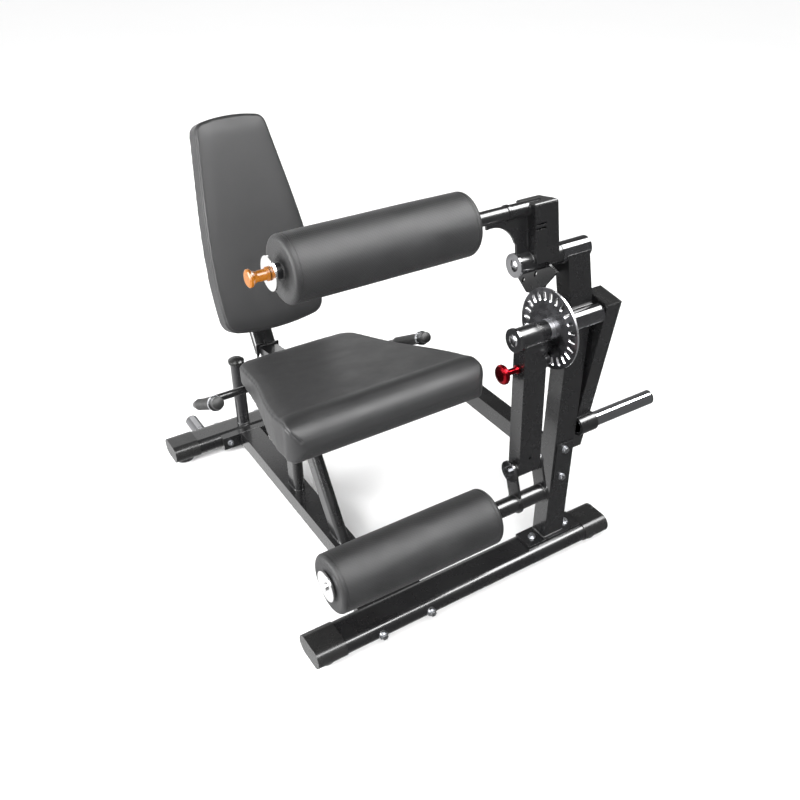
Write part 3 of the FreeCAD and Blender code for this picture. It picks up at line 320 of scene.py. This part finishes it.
def mesh_of(name, bm):
    mesh = bpy.data.meshes.new(name)
    bmesh.ops.recalc_face_normals(bm, faces=bm.faces)
    bm.to_mesh(mesh)
    bm.free()
    mesh.shade_smooth()
    return mesh


def circle(bm, centre, across, up, radius, sides):
    """A ring of new points round centre."""
    angles = [2 * math.pi * k / sides for k in range(sides)]
    return [bm.verts.new(centre + (across * math.cos(a) + up * math.sin(a)) * radius) for a in angles]


def skin(bm, rings):
    """Faces from each ring of points to the next, with both ends closed."""
    for a, b in zip(rings, rings[1:]):
        for k in range(len(a)):
            m = (k + 1) % len(a)
            bm.faces.new((a[k], a[m], b[m], b[k]))
    bm.faces.new(rings[0])
    bm.faces.new(rings[-1])


def sweep(bm, path, radius, sides=8):
    """Adds a round bead along path; radius(i) is its radius at point i."""
    side = (path[1] - path[0]).normalized().orthogonal().normalized()
    rings = []
    for i, point in enumerate(path):
        way = (path[min(i + 1, len(path) - 1)] - path[max(i - 1, 0)]).normalized()
        side = (side - way * side.dot(way)).normalized()
        rings.append(circle(bm, point, side, way.cross(side), radius(i), sides))
    skin(bm, rings)


def resample(points, step):
    """Points about a step apart along a polyline."""
    lengths = np.cumsum([0.0] + [(b - a).length for a, b in zip(points, points[1:])])
    count = max(2, round(lengths[-1] / step))
    wanted = np.linspace(0.0, lengths[-1], count + 1)
    table = np.array([list(p) for p in points])
    return [Vector(p) for p in np.stack([np.interp(wanted, lengths, table[:, k]) for k in range(3)], 1)]


def arrays(piece):
    """A mesh's points and normals as arrays."""
    made = []
    for data, key in ((piece.data.vertices, "co"), (piece.data.vertex_normals, "vector")):
        flat = np.zeros(3 * len(data))
        data.foreach_get(key, flat)
        made.append(flat.reshape(-1, 3))
    return made


def set_points(piece, points):
    piece.data.vertices.foreach_set("co", points.ravel())
    piece.data.update()


def applied(piece):
    """Replaces a piece's mesh with what its modifiers make of it."""
    shown = piece.evaluated_get(bpy.context.evaluated_depsgraph_get())
    mesh = bpy.data.meshes.new_from_object(shown)
    piece.modifiers.clear()
    piece.data = mesh


# ---------------------------------------------------------------- cushions
VOXEL = 5.5 * MM
PAD_INSET, PAD_ROUNDING = 0.5 * MM, 6      # how far a pad starts drawn in, and its smoothing steps
PRESSURE, SWELL_FRAMES = 4.0, 20
RISE_CAP = 6 * MM
TAUT_STEPS = 14
UNDER = -0.6                               # a normal this far from outward is on the underside
BY_BOARD = 7 * MM                          # points this near the board stay where they are
SHARP = math.radians(45)
SIDEWAYS, FORWARDS = 0.5, 0.9              # how far a normal points out of a seamed face
SHORTEST_SEAM = 150 * MM
SEAM_DEPTH, SEAM_WIDTH = 3.2 * MM, 4.2 * MM
SEAT_SLOPE = math.atan(0.26)
RECLINE = math.radians(22)


def closed_mesh(node):
    """A CAD piece's mesh with the points that coincide joined."""
    bm = bmesh.new()
    bm.from_mesh(nodes[node].data)
    bmesh.ops.remove_doubles(bm, verts=bm.verts, dist=0.01 * MM)
    return bm


def even_copy(node, name, tilt):
    """A CAD pad as an evenly meshed closed form, its edges rounded and drawn in. It is turned by
    tilt to be meshed square to the axes, and turned back."""
    square = Matrix.Rotation(tilt, 3, "X")
    bm = closed_mesh(node)
    bmesh.ops.rotate(bm, verts=bm.verts, cent=(0, 0, 0), matrix=square)
    made = bpy.data.objects.new(name, mesh_of(name, bm))
    scene.collection.objects.link(made)
    remesh = made.modifiers.new("even", "REMESH")
    remesh.mode = "VOXEL"
    remesh.voxel_size = VOXEL
    smooth = made.modifiers.new("round", "SMOOTH")
    smooth.factor = 0.5
    smooth.iterations = PAD_ROUNDING
    applied(made)
    made.data.transform(square.inverted().to_4x4())
    points, normals = arrays(made)
    set_points(made, points - normals * PAD_INSET)
    return made


def swell(piece, board, outward):
    """Inflates a piece as cloth. What faces away from outward or lies by the board is held, only
    the rise along the normals is kept, and no point rises beyond RISE_CAP."""
    rest, normals = arrays(piece)
    near = surface_of(nodes[board])
    still = [i for i, (point, normal) in enumerate(zip(rest, normals))
             if Vector(normal).dot(outward) < UNDER or near.find_nearest(Vector(point), BY_BOARD)[0]]
    piece.vertex_groups.new(name="held").add(still, 1.0, "REPLACE")
    cloth = piece.modifiers.new("cloth", "CLOTH")
    cloth.settings.quality = 4
    cloth.settings.vertex_group_mass = "held"
    cloth.settings.use_pressure = True
    cloth.settings.uniform_pressure_force = PRESSURE
    cloth.settings.effector_weights.gravity = 0.0
    for step in range(1, SWELL_FRAMES + 1):
        scene.frame_set(step)
    moved = arrays(piece.evaluated_get(bpy.context.evaluated_depsgraph_get()))[0] - rest
    piece.modifiers.clear()
    scene.frame_set(1)
    rise = RISE_CAP * np.tanh(np.maximum((moved * normals).sum(1), 0.0) / RISE_CAP)
    ends = np.zeros(2 * len(piece.data.edges), dtype=int)
    piece.data.edges.foreach_get("vertices", ends)
    a, b = ends.reshape(-1, 2).T
    count = len(rest)
    share = np.bincount(a, minlength=count) + np.bincount(b, minlength=count)
    for _ in range(TAUT_STEPS):                # a taut cover carries no small wrinkles
        rise = (np.bincount(a, rise[b], count) + np.bincount(b, rise[a], count)) / share
    set_points(piece, rest + normals * rise[:, None])


def chains_of(node, keep):
    """Runs of points along the sharp edges of a CAD solid whose two face normals keep accepts."""
    bm = closed_mesh(node)
    edges = {e for e in bm.edges if len(e.link_faces) == 2
             and e.calc_face_angle(0.0) > SHARP and keep(*[f.normal for f in e.link_faces])}
    runs = []
    while edges:
        edge = edges.pop()
        ends = [[edge.verts[0]], [edge.verts[1]]]
        for run in ends:
            found = True
            while found:
                found = next((e for e in run[-1].link_edges if e in edges), None)
                if found:
                    edges.discard(found)
                    run.append(found.other_vert(run[-1]))
        runs.append([v.co.copy() for v in reversed(ends[0])] + [v.co.copy() for v in ends[1]])
    bm.free()
    return [run for run in runs if sum((b - a).length for a, b in zip(run, run[1:])) > SHORTEST_SEAM]


def surface_of(piece):
    bm = bmesh.new()
    bm.from_mesh(piece.data)
    tree = BVHTree.FromBMesh(bm)
    bm.free()
    return tree


def sew(piece, runs):
    """Presses a seam into the piece along each run and returns the runs as they lie on it."""
    tree = surface_of(piece)
    laid = [[tree.find_nearest(p)[0] for p in resample(run, 2 * MM)] for run in runs]
    points = [p for run in laid for p in run]
    near = kdtree.KDTree(len(points))
    for i, p in enumerate(points):
        near.insert(p, i)
    near.balance()
    points, normals = arrays(piece)
    gaps = np.array([near.find(p)[2] for p in points])[:, None]
    set_points(piece, points - normals * SEAM_DEPTH * np.exp(-(gaps / SEAM_WIDTH) ** 2))
    return laid


def stitches(name, piece, runs, towards, inset):
    """A row of thread stitches beside each seam; towards(p) points from the seam into the panel."""
    tree = surface_of(piece)
    length, pitch, radius = 3.4 * MM, 5.2 * MM, 0.45 * MM
    along = (0.0, 0.25, 0.5, 0.75, 1.0)
    thick = (0.45, 0.9, 1.0, 0.9, 0.45)        # share of the radius at each place along a stitch
    bm = bmesh.new()
    for run in runs:
        row = [tree.find_nearest(p + towards(p) * inset) for p in resample(run, pitch)]
        for (a, up, *_), (b, *_) in zip(row, row[1:]):
            way = (b - a).normalized() * length
            lift = up * radius * 0.5
            path = [a + way * t + lift * (1 - abs(2 * t - 1)) for t in along]
            sweep(bm, path, lambda i: radius * thick[i], sides=6)
    place(name, mesh_of(name, bm), thread, "vinyl", "frame")


def subdivided(piece):
    finer = piece.modifiers.new("finer", "SUBSURF")
    finer.levels = finer.render_levels = 1
    applied(piece)


def build_cushion(node, name, board, tilt, outward, keep):
    """A swollen vinyl pad, sewn along the CAD pad's edges that keep accepts. Returns it and its
    seams."""
    pad = even_copy(node, name, tilt)
    swell(pad, board, outward)
    subdivided(pad)
    seams = sew(pad, chains_of(node, keep))
    dress(pad, finishes["vinyl"])
    pad.data.shade_smooth()
    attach(pad, "frame")
    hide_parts(node)
    return pad, seams


def build_seat():
    """Seat cushion with a seam and stitches along its two sides."""
    def on_side(a, b):
        return min(a.z, b.z) > UNDER and max(abs(a.x), abs(b.x)) > SIDEWAYS

    def inwards(p):
        return Vector((math.copysign(1, SEAT_X - p.x), 0, 0))

    pad, seams = build_cushion("seat_pad", "seat_cushion", "seat_board", SEAT_SLOPE,
                               Vector((0, 0, 1)), on_side)
    stitches("seat_stitching", pad, seams, inwards, inset=6 * MM)


def build_back():
    """Back cushion with a seam and stitches round its front."""
    front = Vector((0, -math.cos(RECLINE), math.sin(RECLINE)))
    low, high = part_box("back_pad")
    middle = (low + high) / 2

    def round_front(a, b):
        return max(a.dot(front), b.dot(front)) > FORWARDS

    def inwards(p):
        return ((middle - p) - front * (middle - p).dot(front)).normalized()

    pad, seams = build_cushion("back_pad", "back_cushion", "back_board", RECLINE, front, round_front)
    stitches("back_stitching", pad, seams, inwards, inset=7 * MM)


build_seat()
build_back()


# ---------------------------------------------------------------- rollers
def lathe_x(name, profile, sides, centre, wobble, cut):
    """Turns (x, r, band) round an axis along x through centre, with lumps up to wobble high and a
    cut along it, given as angle, depth and width. UVs are metres along and round it."""
    lumps_along, lumps_round = 9, 22           # scales of the noise
    cut_at, cut_depth, cut_width = cut
    bm = bmesh.new()
    uv = bm.loops.layers.uv.new("UVMap")
    rings, run = [], [0.0]
    for a, b in zip(profile, profile[1:]):
        run.append(run[-1] + math.dist(a[:2], b[:2]))
    reach = max(p[1] for p in profile)
    for x, r, _ in profile:
        ring = []
        for k in range(sides):
            angle = 2 * math.pi * k / sides
            aside = ((angle - cut_at + math.pi) % (2 * math.pi) - math.pi) * r
            dent = cut_depth * math.exp(-(aside / cut_width) ** 2)
            way = Vector((0, math.cos(angle), math.sin(angle)))
            lump = noise.noise(Vector((x * lumps_along, 0, 0)) + way * r * lumps_round) * wobble
            ring.append(bm.verts.new(Vector((x, 0, 0)) + way * (r + lump - dent)))
        rings.append(ring)
    for i in range(len(rings) - 1):
        for k in range(sides):
            m = (k + 1) % sides
            face = bm.faces.new((rings[i][k], rings[i][m], rings[i + 1][m], rings[i + 1][k]))
            face.material_index = profile[i][2]
            for loop, (row, column) in zip(face.loops, ((i, k), (i, k + 1), (i + 1, k + 1), (i + 1, k))):
                loop[uv].uv = (run[row], 2 * math.pi * reach * column / sides)
    made = bpy.data.objects.new(name, mesh_of(name, bm))
    made.location = (0, centre.y, centre.z)
    scene.collection.objects.link(made)
    return made


def build_roller(name, node, body):
    """Foam roller: a ribbed tube cover with a soft end cover sewn on at each end."""
    low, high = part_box(node)
    core_low, core_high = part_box(node.replace("pad", "core"))
    centre = (low + high) / 2
    reach = (high.z - low.z) / 2
    bore = (core_high.z - core_low.z) / 2
    length = high.x - low.x
    edge, dish, barrel, end_drop = 13 * MM, 3 * MM, 1.0 * MM, 0.8 * MM
    seam_at, seam_depth, seam_width = 17 * MM, 1.3 * MM, 1.6 * MM
    seams = (seam_at, length - seam_at)
    play = 0.5 * MM                            # between the core and the end cover

    def cover(x):
        """Point of the barrel-shaped cover; band 1 is an end cover, band 0 the tube cover."""
        seam = sum(seam_depth * math.exp(-((x - s) / seam_width) ** 2) for s in seams)
        r = reach - barrel * (2 * x / length - 1) ** 2 - seam
        return low.x + x, r, 0 if seams[0] <= x <= seams[1] else 1

    half = []                                  # from the bore out over the rounded edge
    for t in np.linspace(0, 1, 9):
        half.append((dish * math.cos(t * math.pi / 2), bore + play + t * (reach - edge - bore)))
    for t in np.linspace(0.1, 1, 10):
        angle = t * math.pi / 2
        half.append((edge * (1 - math.cos(angle)), reach - edge * (1 - math.sin(angle))))
    left = [(low.x + x, r - end_drop, 1) for x, r in half]
    right = [(high.x - x, r - end_drop, 1) for x, r in reversed(half)]
    clear = 3.6 * MM                           # close rings at the seams, wider ones elsewhere
    wide = [x for x in np.linspace(edge + 1 * MM, length - edge - 1 * MM, 96)
            if all(abs(x - s) > clear for s in seams)]
    close = [s + d for s in seams for d in np.linspace(-3.2, 3.2, 9) * MM]
    profile = left + sorted(cover(x) for x in wide + close) + right
    split = (-math.pi / 2, 1.0 * MM, 2.2 * MM)     # the cover's long join, along its underside
    made = lathe_x(name, profile, 160, centre, wobble=0.5 * MM, cut=split)
    dress(made, finishes["roller_foam"])
    made.data.materials.append(end_cover)
    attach(made, body)
    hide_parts(node)


build_roller("upper_roller_cover", "upper_roller_pad", "upper_roller")
build_roller("lower_roller_cover", "lower_roller_pad", "lower_roller")


# ---------------------------------------------------------------- hand grips
def build_grips():
    """Ribbed rubber sleeves on the two handle ends."""
    way = Vector((0, -0.86, 0.51)).normalized()    # the handles rise towards the front
    across = Vector((1, 0, 0))
    up = way.cross(across)
    radius, length, rib, pitch, plain = 17.9 * MM, 205 * MM, 0.9 * MM, 6 * MM, 14 * MM
    nose, nose_run = 1.2 * MM, 2.5 * MM        # how far the ends draw in, and over what length
    count, sides = 206, 40
    steps = np.linspace(-length / 2, length / 2, count)

    def ribbed(step):
        end = length / 2 - abs(step)
        if end < plain:
            return radius - nose * max(0.0, 1 - end / nose_run) ** 2
        return radius - rib * (0.5 + 0.5 * math.cos(2 * math.pi * step / pitch))

    points = np.array([v.co for v in nodes["hand_grips"].data.vertices])
    bm = bmesh.new()
    for side in (-1, 1):
        own = points[(points[:, 0] - SEAT_X) * side > 0]
        centre = Vector((own.min(0) + own.max(0)) / 2)
        skin(bm, [circle(bm, centre + way * step, across, up, ribbed(step), sides) for step in steps])
    made = place("grip_sleeves", mesh_of("grip_sleeves", bm), grip_rubber, "rubber_black", "frame")
    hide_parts("hand_grips")


build_grips()


# ---------------------------------------------------------------- springs
COILS, COIL_STEPS = 9, 24


def build_spring(name, node, body):
    """Coil spring in the place of the CAD spring, with half a turn lying flat at each end."""
    low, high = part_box(node)
    centre = (low + high) / 2
    wire = 0.8 * MM
    mean = (high.z - low.z) / 2 - wire
    run = high.x - low.x - 2 * wire
    path = []
    for i in range(COILS * COIL_STEPS + 1):
        turn = i / COIL_STEPS
        share = min(max((turn - 0.5) / (COILS - 1), 0.0), 1.0)     # half a turn lies flat at each end
        angle = 2 * math.pi * turn
        path.append(Vector((low.x + wire + share * run, centre.y + mean * math.cos(angle),
                            centre.z + mean * math.sin(angle))))
    bm = bmesh.new()
    sweep(bm, path, lambda i: wire)
    slot = next(part["material_slot"] for part in frame["record"]["subparts"] if part["node"] == node)
    made = place(name, mesh_of(name, bm), finishes[slot], slot, body)
    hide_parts(node)
    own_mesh(made)


build_spring("pull_pin_coil", "pull_pin_spring", "swing_arm")
build_spring("release_coil", "release_spring", "thigh_arm")


# ---------------------------------------------------------------- weld beads
def turned(points, degrees, y, z):
    """Points drawn upright round an axis along x, tilted and moved to the axis."""
    a = math.radians(degrees)
    return [(x, y + p * math.cos(a) - q * math.sin(a), z + p * math.sin(a) + q * math.cos(a))
            for x, p, q in points]


def ring(x, y, z, r, start=0, end=360):
    """Part of a circle on a face square to x, from start to end in degrees."""
    chord = 8
    count = max(6, round(abs(end - start) / chord))
    angles = [math.radians(start + (end - start) * i / count) for i in range(count + 1)]
    return [(x, y + r * math.cos(a), z + r * math.sin(a)) for a in angles]


def flat_oval(x, y, z, width, length, lean=0.0):
    """Outline of a flat-oval tube's foot on a level face, width across x."""
    r, run = width / 2, (length - width) / 2
    count = 24
    made = []
    for i in range(count + 1):
        a = 2 * math.pi * i / count
        along = r * math.sin(a) + math.copysign(run, math.sin(a))
        made.append((x + r * math.cos(a), y + along / math.cos(lean), z))
    return made


def ring_z(x, y, z, r):
    return [(x + r * math.cos(a), y + r * math.sin(a), z) for a in np.linspace(0, 2 * math.pi, 41)]


def rectangle_z(x0, x1, y0, y1, z):
    return [(x0, y0, z), (x1, y0, z), (x1, y1, z), (x0, y1, z), (x0, y0, z)]


def rectangle_y(x0, x1, z0, z1, y):
    return [(x0, y, z0), (x1, y, z0), (x1, y, z1), (x0, y, z1), (x0, y, z0)]


def weld(name, body, paths, radius=2.3):
    """Rippled weld beads under the paint, along paths given in millimetres."""
    step, sides = 1.5 * MM, 10

    def bead(i):
        ripple = 0.35 * math.sin(i * 2.1)
        drift = 0.15 * math.sin(i * 0.37)
        return (radius + ripple + drift) * MM

    bm = bmesh.new()
    for path in paths:
        sweep(bm, resample([at(*p) for p in path], step), bead, sides)
    place(name, mesh_of(name, bm), finishes["frame_paint"], "frame_paint", body)


AXIS = (-20, 932)          # main pivot: depth and height
TOP = (67, 1108)           # thigh arm's pivot
ANKLE = tuple(round(c / MM, 3) for c in (pivots["ankle_swing"] - CORNER)[1:])
SWING_TILT, WEIGHT_TILT, THIGH_TILT, LINK_TILT = -2.9, 8.25, -10.0, -18.6


def weld_frame():
    """The upright with its two pivot sleeves, the spine, the seat's tubes and the storage post."""
    right, rear, foot = 80, 60, 90             # upright's far faces, and the top of its foot plate
    sleeve, above, each_way = 30, 22, 48       # radius, weld's height off the axis, degrees
    spine, half_spine, spine_low, spine_high = -575, 40, 24, 79
    front_end, rear_end = 93, 1122
    beam_top = 80
    strut_y, post_y, tube, lean = 385, 713, (40, 80), math.radians(34)
    link_left, link_right, link_low, link_high, link_face = 10, 70, 364, 424, 70
    storage, storage_r = (-573, 1196), 25
    weld("frame_weld_beads", "frame", [
        rectangle_z(0, right, 0, rear, foot),
        ring(0, *AXIS, sleeve, -each_way, each_way), ring(right, *AXIS, sleeve, -each_way, each_way),
        [(0, 0, AXIS[1] + above), (right, 0, AXIS[1] + above)],
        [(0, 0, AXIS[1] - above), (right, 0, AXIS[1] - above)],
        ring(0, *TOP, sleeve, 180, 360), ring(right, *TOP, sleeve, 180, 360),
        rectangle_y(spine - half_spine, spine + half_spine, spine_low, spine_high, front_end),
        rectangle_y(spine - half_spine, spine + half_spine, spine_low, spine_high, rear_end),
        flat_oval(spine, strut_y, beam_top, *tube, lean),
        flat_oval(spine, post_y, beam_top, *tube),
        rectangle_y(link_left, link_right, link_low, link_high, link_face),
        ring_z(*storage, beam_top, storage_r),
    ])


def weld_swing_arm():
    """Upper and lower sleeves, and the pull pin's housing."""
    outer, inner = -200, -120                  # faces of the arm's tube
    hub, half_arm, arm_top = 31, 25, -18.5
    lower_r, lower_z, pin_r, pin_z = 25, -440.5, 22, -95
    weld("swing_arm_weld_beads", "swing_arm", [turned(path, SWING_TILT, *AXIS) for path in (
        ring(outer, 0, 0, hub, 216, 324), ring(inner, 0, 0, hub, 216, 324),
        [(outer, -half_arm, arm_top), (inner, -half_arm, arm_top)],
        [(outer, half_arm, arm_top), (inner, half_arm, arm_top)],
        ring(outer, 0, lower_z, lower_r), ring(inner, 0, lower_z, lower_r),
        ring(inner, 0, pin_z, pin_r))])


def weld_thigh_arm():
    """The arm's hub, its roller tube and the gusset between them."""
    outer, inner, hub = -121, -41, 30
    tube_r, tube_z = 19.5, 148
    gusset_end, gusset_low, gusset_high, under_tube, half_gusset = -250, 32, 128, 128.5, 4
    weld("thigh_arm_weld_beads", "thigh_arm", [turned(path, THIGH_TILT, *TOP) for path in (
        ring(outer, 0, 0, hub, 0, 180), ring(inner, 0, 0, hub, 0, 180),
        ring(outer, 0, tube_z, tube_r, -210, 30),
        *([(gusset_end, y, under_tube), (outer, y, under_tube)] for y in (-half_gusset, half_gusset)),
        *([(outer, y, gusset_low), (outer, y, gusset_high)] for y in (-half_gusset, half_gusset)))], 1.9)


def weld_lever_and_link():
    """The weight peg's sleeve, and the ankle link's plates on their roller tube."""
    face, peg_y, peg_z, sleeve = 144.5, -31, -422, 31
    weld("weight_arm_weld_beads", "main_lever",
         [turned(ring(face, peg_y, peg_z, sleeve, -80, 80), WEIGHT_TILT, *AXIS)])
    plate_faces, tube_z, tube_r = (-213, -205, -115, -107), -105.6, 27
    weld("ankle_link_weld_beads", "ankle_link",
         [turned(ring(x, 0, tube_z, tube_r), LINK_TILT, *ANKLE) for x in plate_faces], 2.0)


weld_frame()
weld_swing_arm()
weld_thigh_arm()
weld_lever_and_link()


# ---------------------------------------------------------------- floor, light and camera
def plain_floor():
    """Pale sheet under the machine, far wider than any view of it."""
    reach = 40.0
    bm = bmesh.new()
    bmesh.ops.create_grid(bm, x_segments=8, y_segments=8, size=reach)
    floor = bpy.data.objects.new("floor", mesh_of("floor", bm))
    scene.collection.objects.link(floor)
    made = Finish("pale_floor", (0.93, 0.93, 0.93), 0.8, Specular_IOR_Level=0.1)
    made.tint(made.noise(0.7, 2.0), 0.99, 1.01)
    dress(floor, made.mat)
    floor.visible_glossy = False


def area_light(name, place_at, target, width, height, power, *unseen):
    """Rectangular light in metres and watts; unseen names the kinds of ray that miss it."""
    light = bpy.data.lights.new(name, "AREA")
    light.shape, light.size, light.size_y, light.energy = "RECTANGLE", width, height, power
    lamp = bpy.data.objects.new(name, light)
    lamp.location = place_at
    lamp.rotation_euler = (Vector(target) - Vector(place_at)).to_track_quat("-Z", "Y").to_euler()
    for key in unseen:
        setattr(lamp, key, False)
    scene.collection.objects.link(lamp)


def glow(tree, way, low, high):
    """Strength of the room towards way: low beside it, high straight at it."""
    towards = tree.nodes.new("ShaderNodeTexCoord").outputs["Generated"]
    dot = tree.nodes.new("ShaderNodeVectorMath")
    dot.operation = "DOT_PRODUCT"
    tree.links.new(towards, dot.inputs[0])
    dot.inputs[1].default_value = Vector(way).normalized()
    ramp = tree.nodes.new("ShaderNodeMapRange")
    tree.links.new(dot.outputs["Value"], ramp.inputs["Value"])
    for socket, value in (("From Min", 0.0), ("From Max", 0.9), ("To Min", low), ("To Max", high)):
        ramp.inputs[socket].default_value = value
    return ramp.outputs[0]


def lamps():
    """A strip that draws the highlights on the tubes, three boxes and a soft sun."""
    aim = (0, 0, 0.6)
    area_light("strip_above_front", (1.2, -1.9, 3.9), aim, 5.5, 2.1, 620, "visible_diffuse")
    area_light("box_front", (-0.6, -5.0, 2.0), aim, 4.0, 2.5, 340, "visible_glossy")
    area_light("box_left", (-4.5, 0.6, 1.7), aim, 3.0, 3.0, 520)
    area_light("box_rear", (0.6, 5.0, 2.4), aim, 5.0, 2.4, 45)
    sun = bpy.data.lights.new("soft_sun", "SUN")
    sun.energy, sun.angle = 3.0, math.radians(50)
    lamp = bpy.data.objects.new("soft_sun", sun)
    lamp.rotation_euler = (math.radians(25), math.radians(-24), 0)
    scene.collection.objects.link(lamp)


def room():
    """Plain white to the camera; to the machine it is brightest low down behind on the left."""
    brightest, dim, bright = (-0.6, 0.65, -0.45), 0.15, 1.1
    world = bpy.data.worlds.new("pale_room")
    scene.world = world
    world.use_nodes = True
    tree = world.node_tree
    back = tree.nodes["Background"]
    seen = tree.nodes.new("ShaderNodeLightPath").outputs["Is Camera Ray"]
    strength = tree.nodes.new("ShaderNodeMapRange")
    tree.links.new(glow(tree, brightest, dim, bright), strength.inputs["To Min"])
    strength.inputs["To Max"].default_value = 1.0
    tree.links.new(seen, strength.inputs["Value"])
    tree.links.new(strength.outputs[0], back.inputs["Strength"])
    back.inputs["Color"].default_value = (1, 1, 1, 1)
    scene.view_settings.view_transform = "Standard"


def camera():
    """Looks down from the front left."""
    down, aside = 33.6, 32.3                   # degrees below level, and to the right of straight back
    data = bpy.data.cameras.new("camera")
    data.lens, data.sensor_width = 39.7, 36.0
    data.clip_end = 200.0
    eye = bpy.data.objects.new("camera", data)
    eye.location = at(-1603.6, -1624.9, 2130)
    eye.rotation_euler = (math.radians(90 - down), 0, math.radians(-aside))
    scene.collection.objects.link(eye)
    scene.camera = eye


plain_floor()
lamps()
room()
camera()
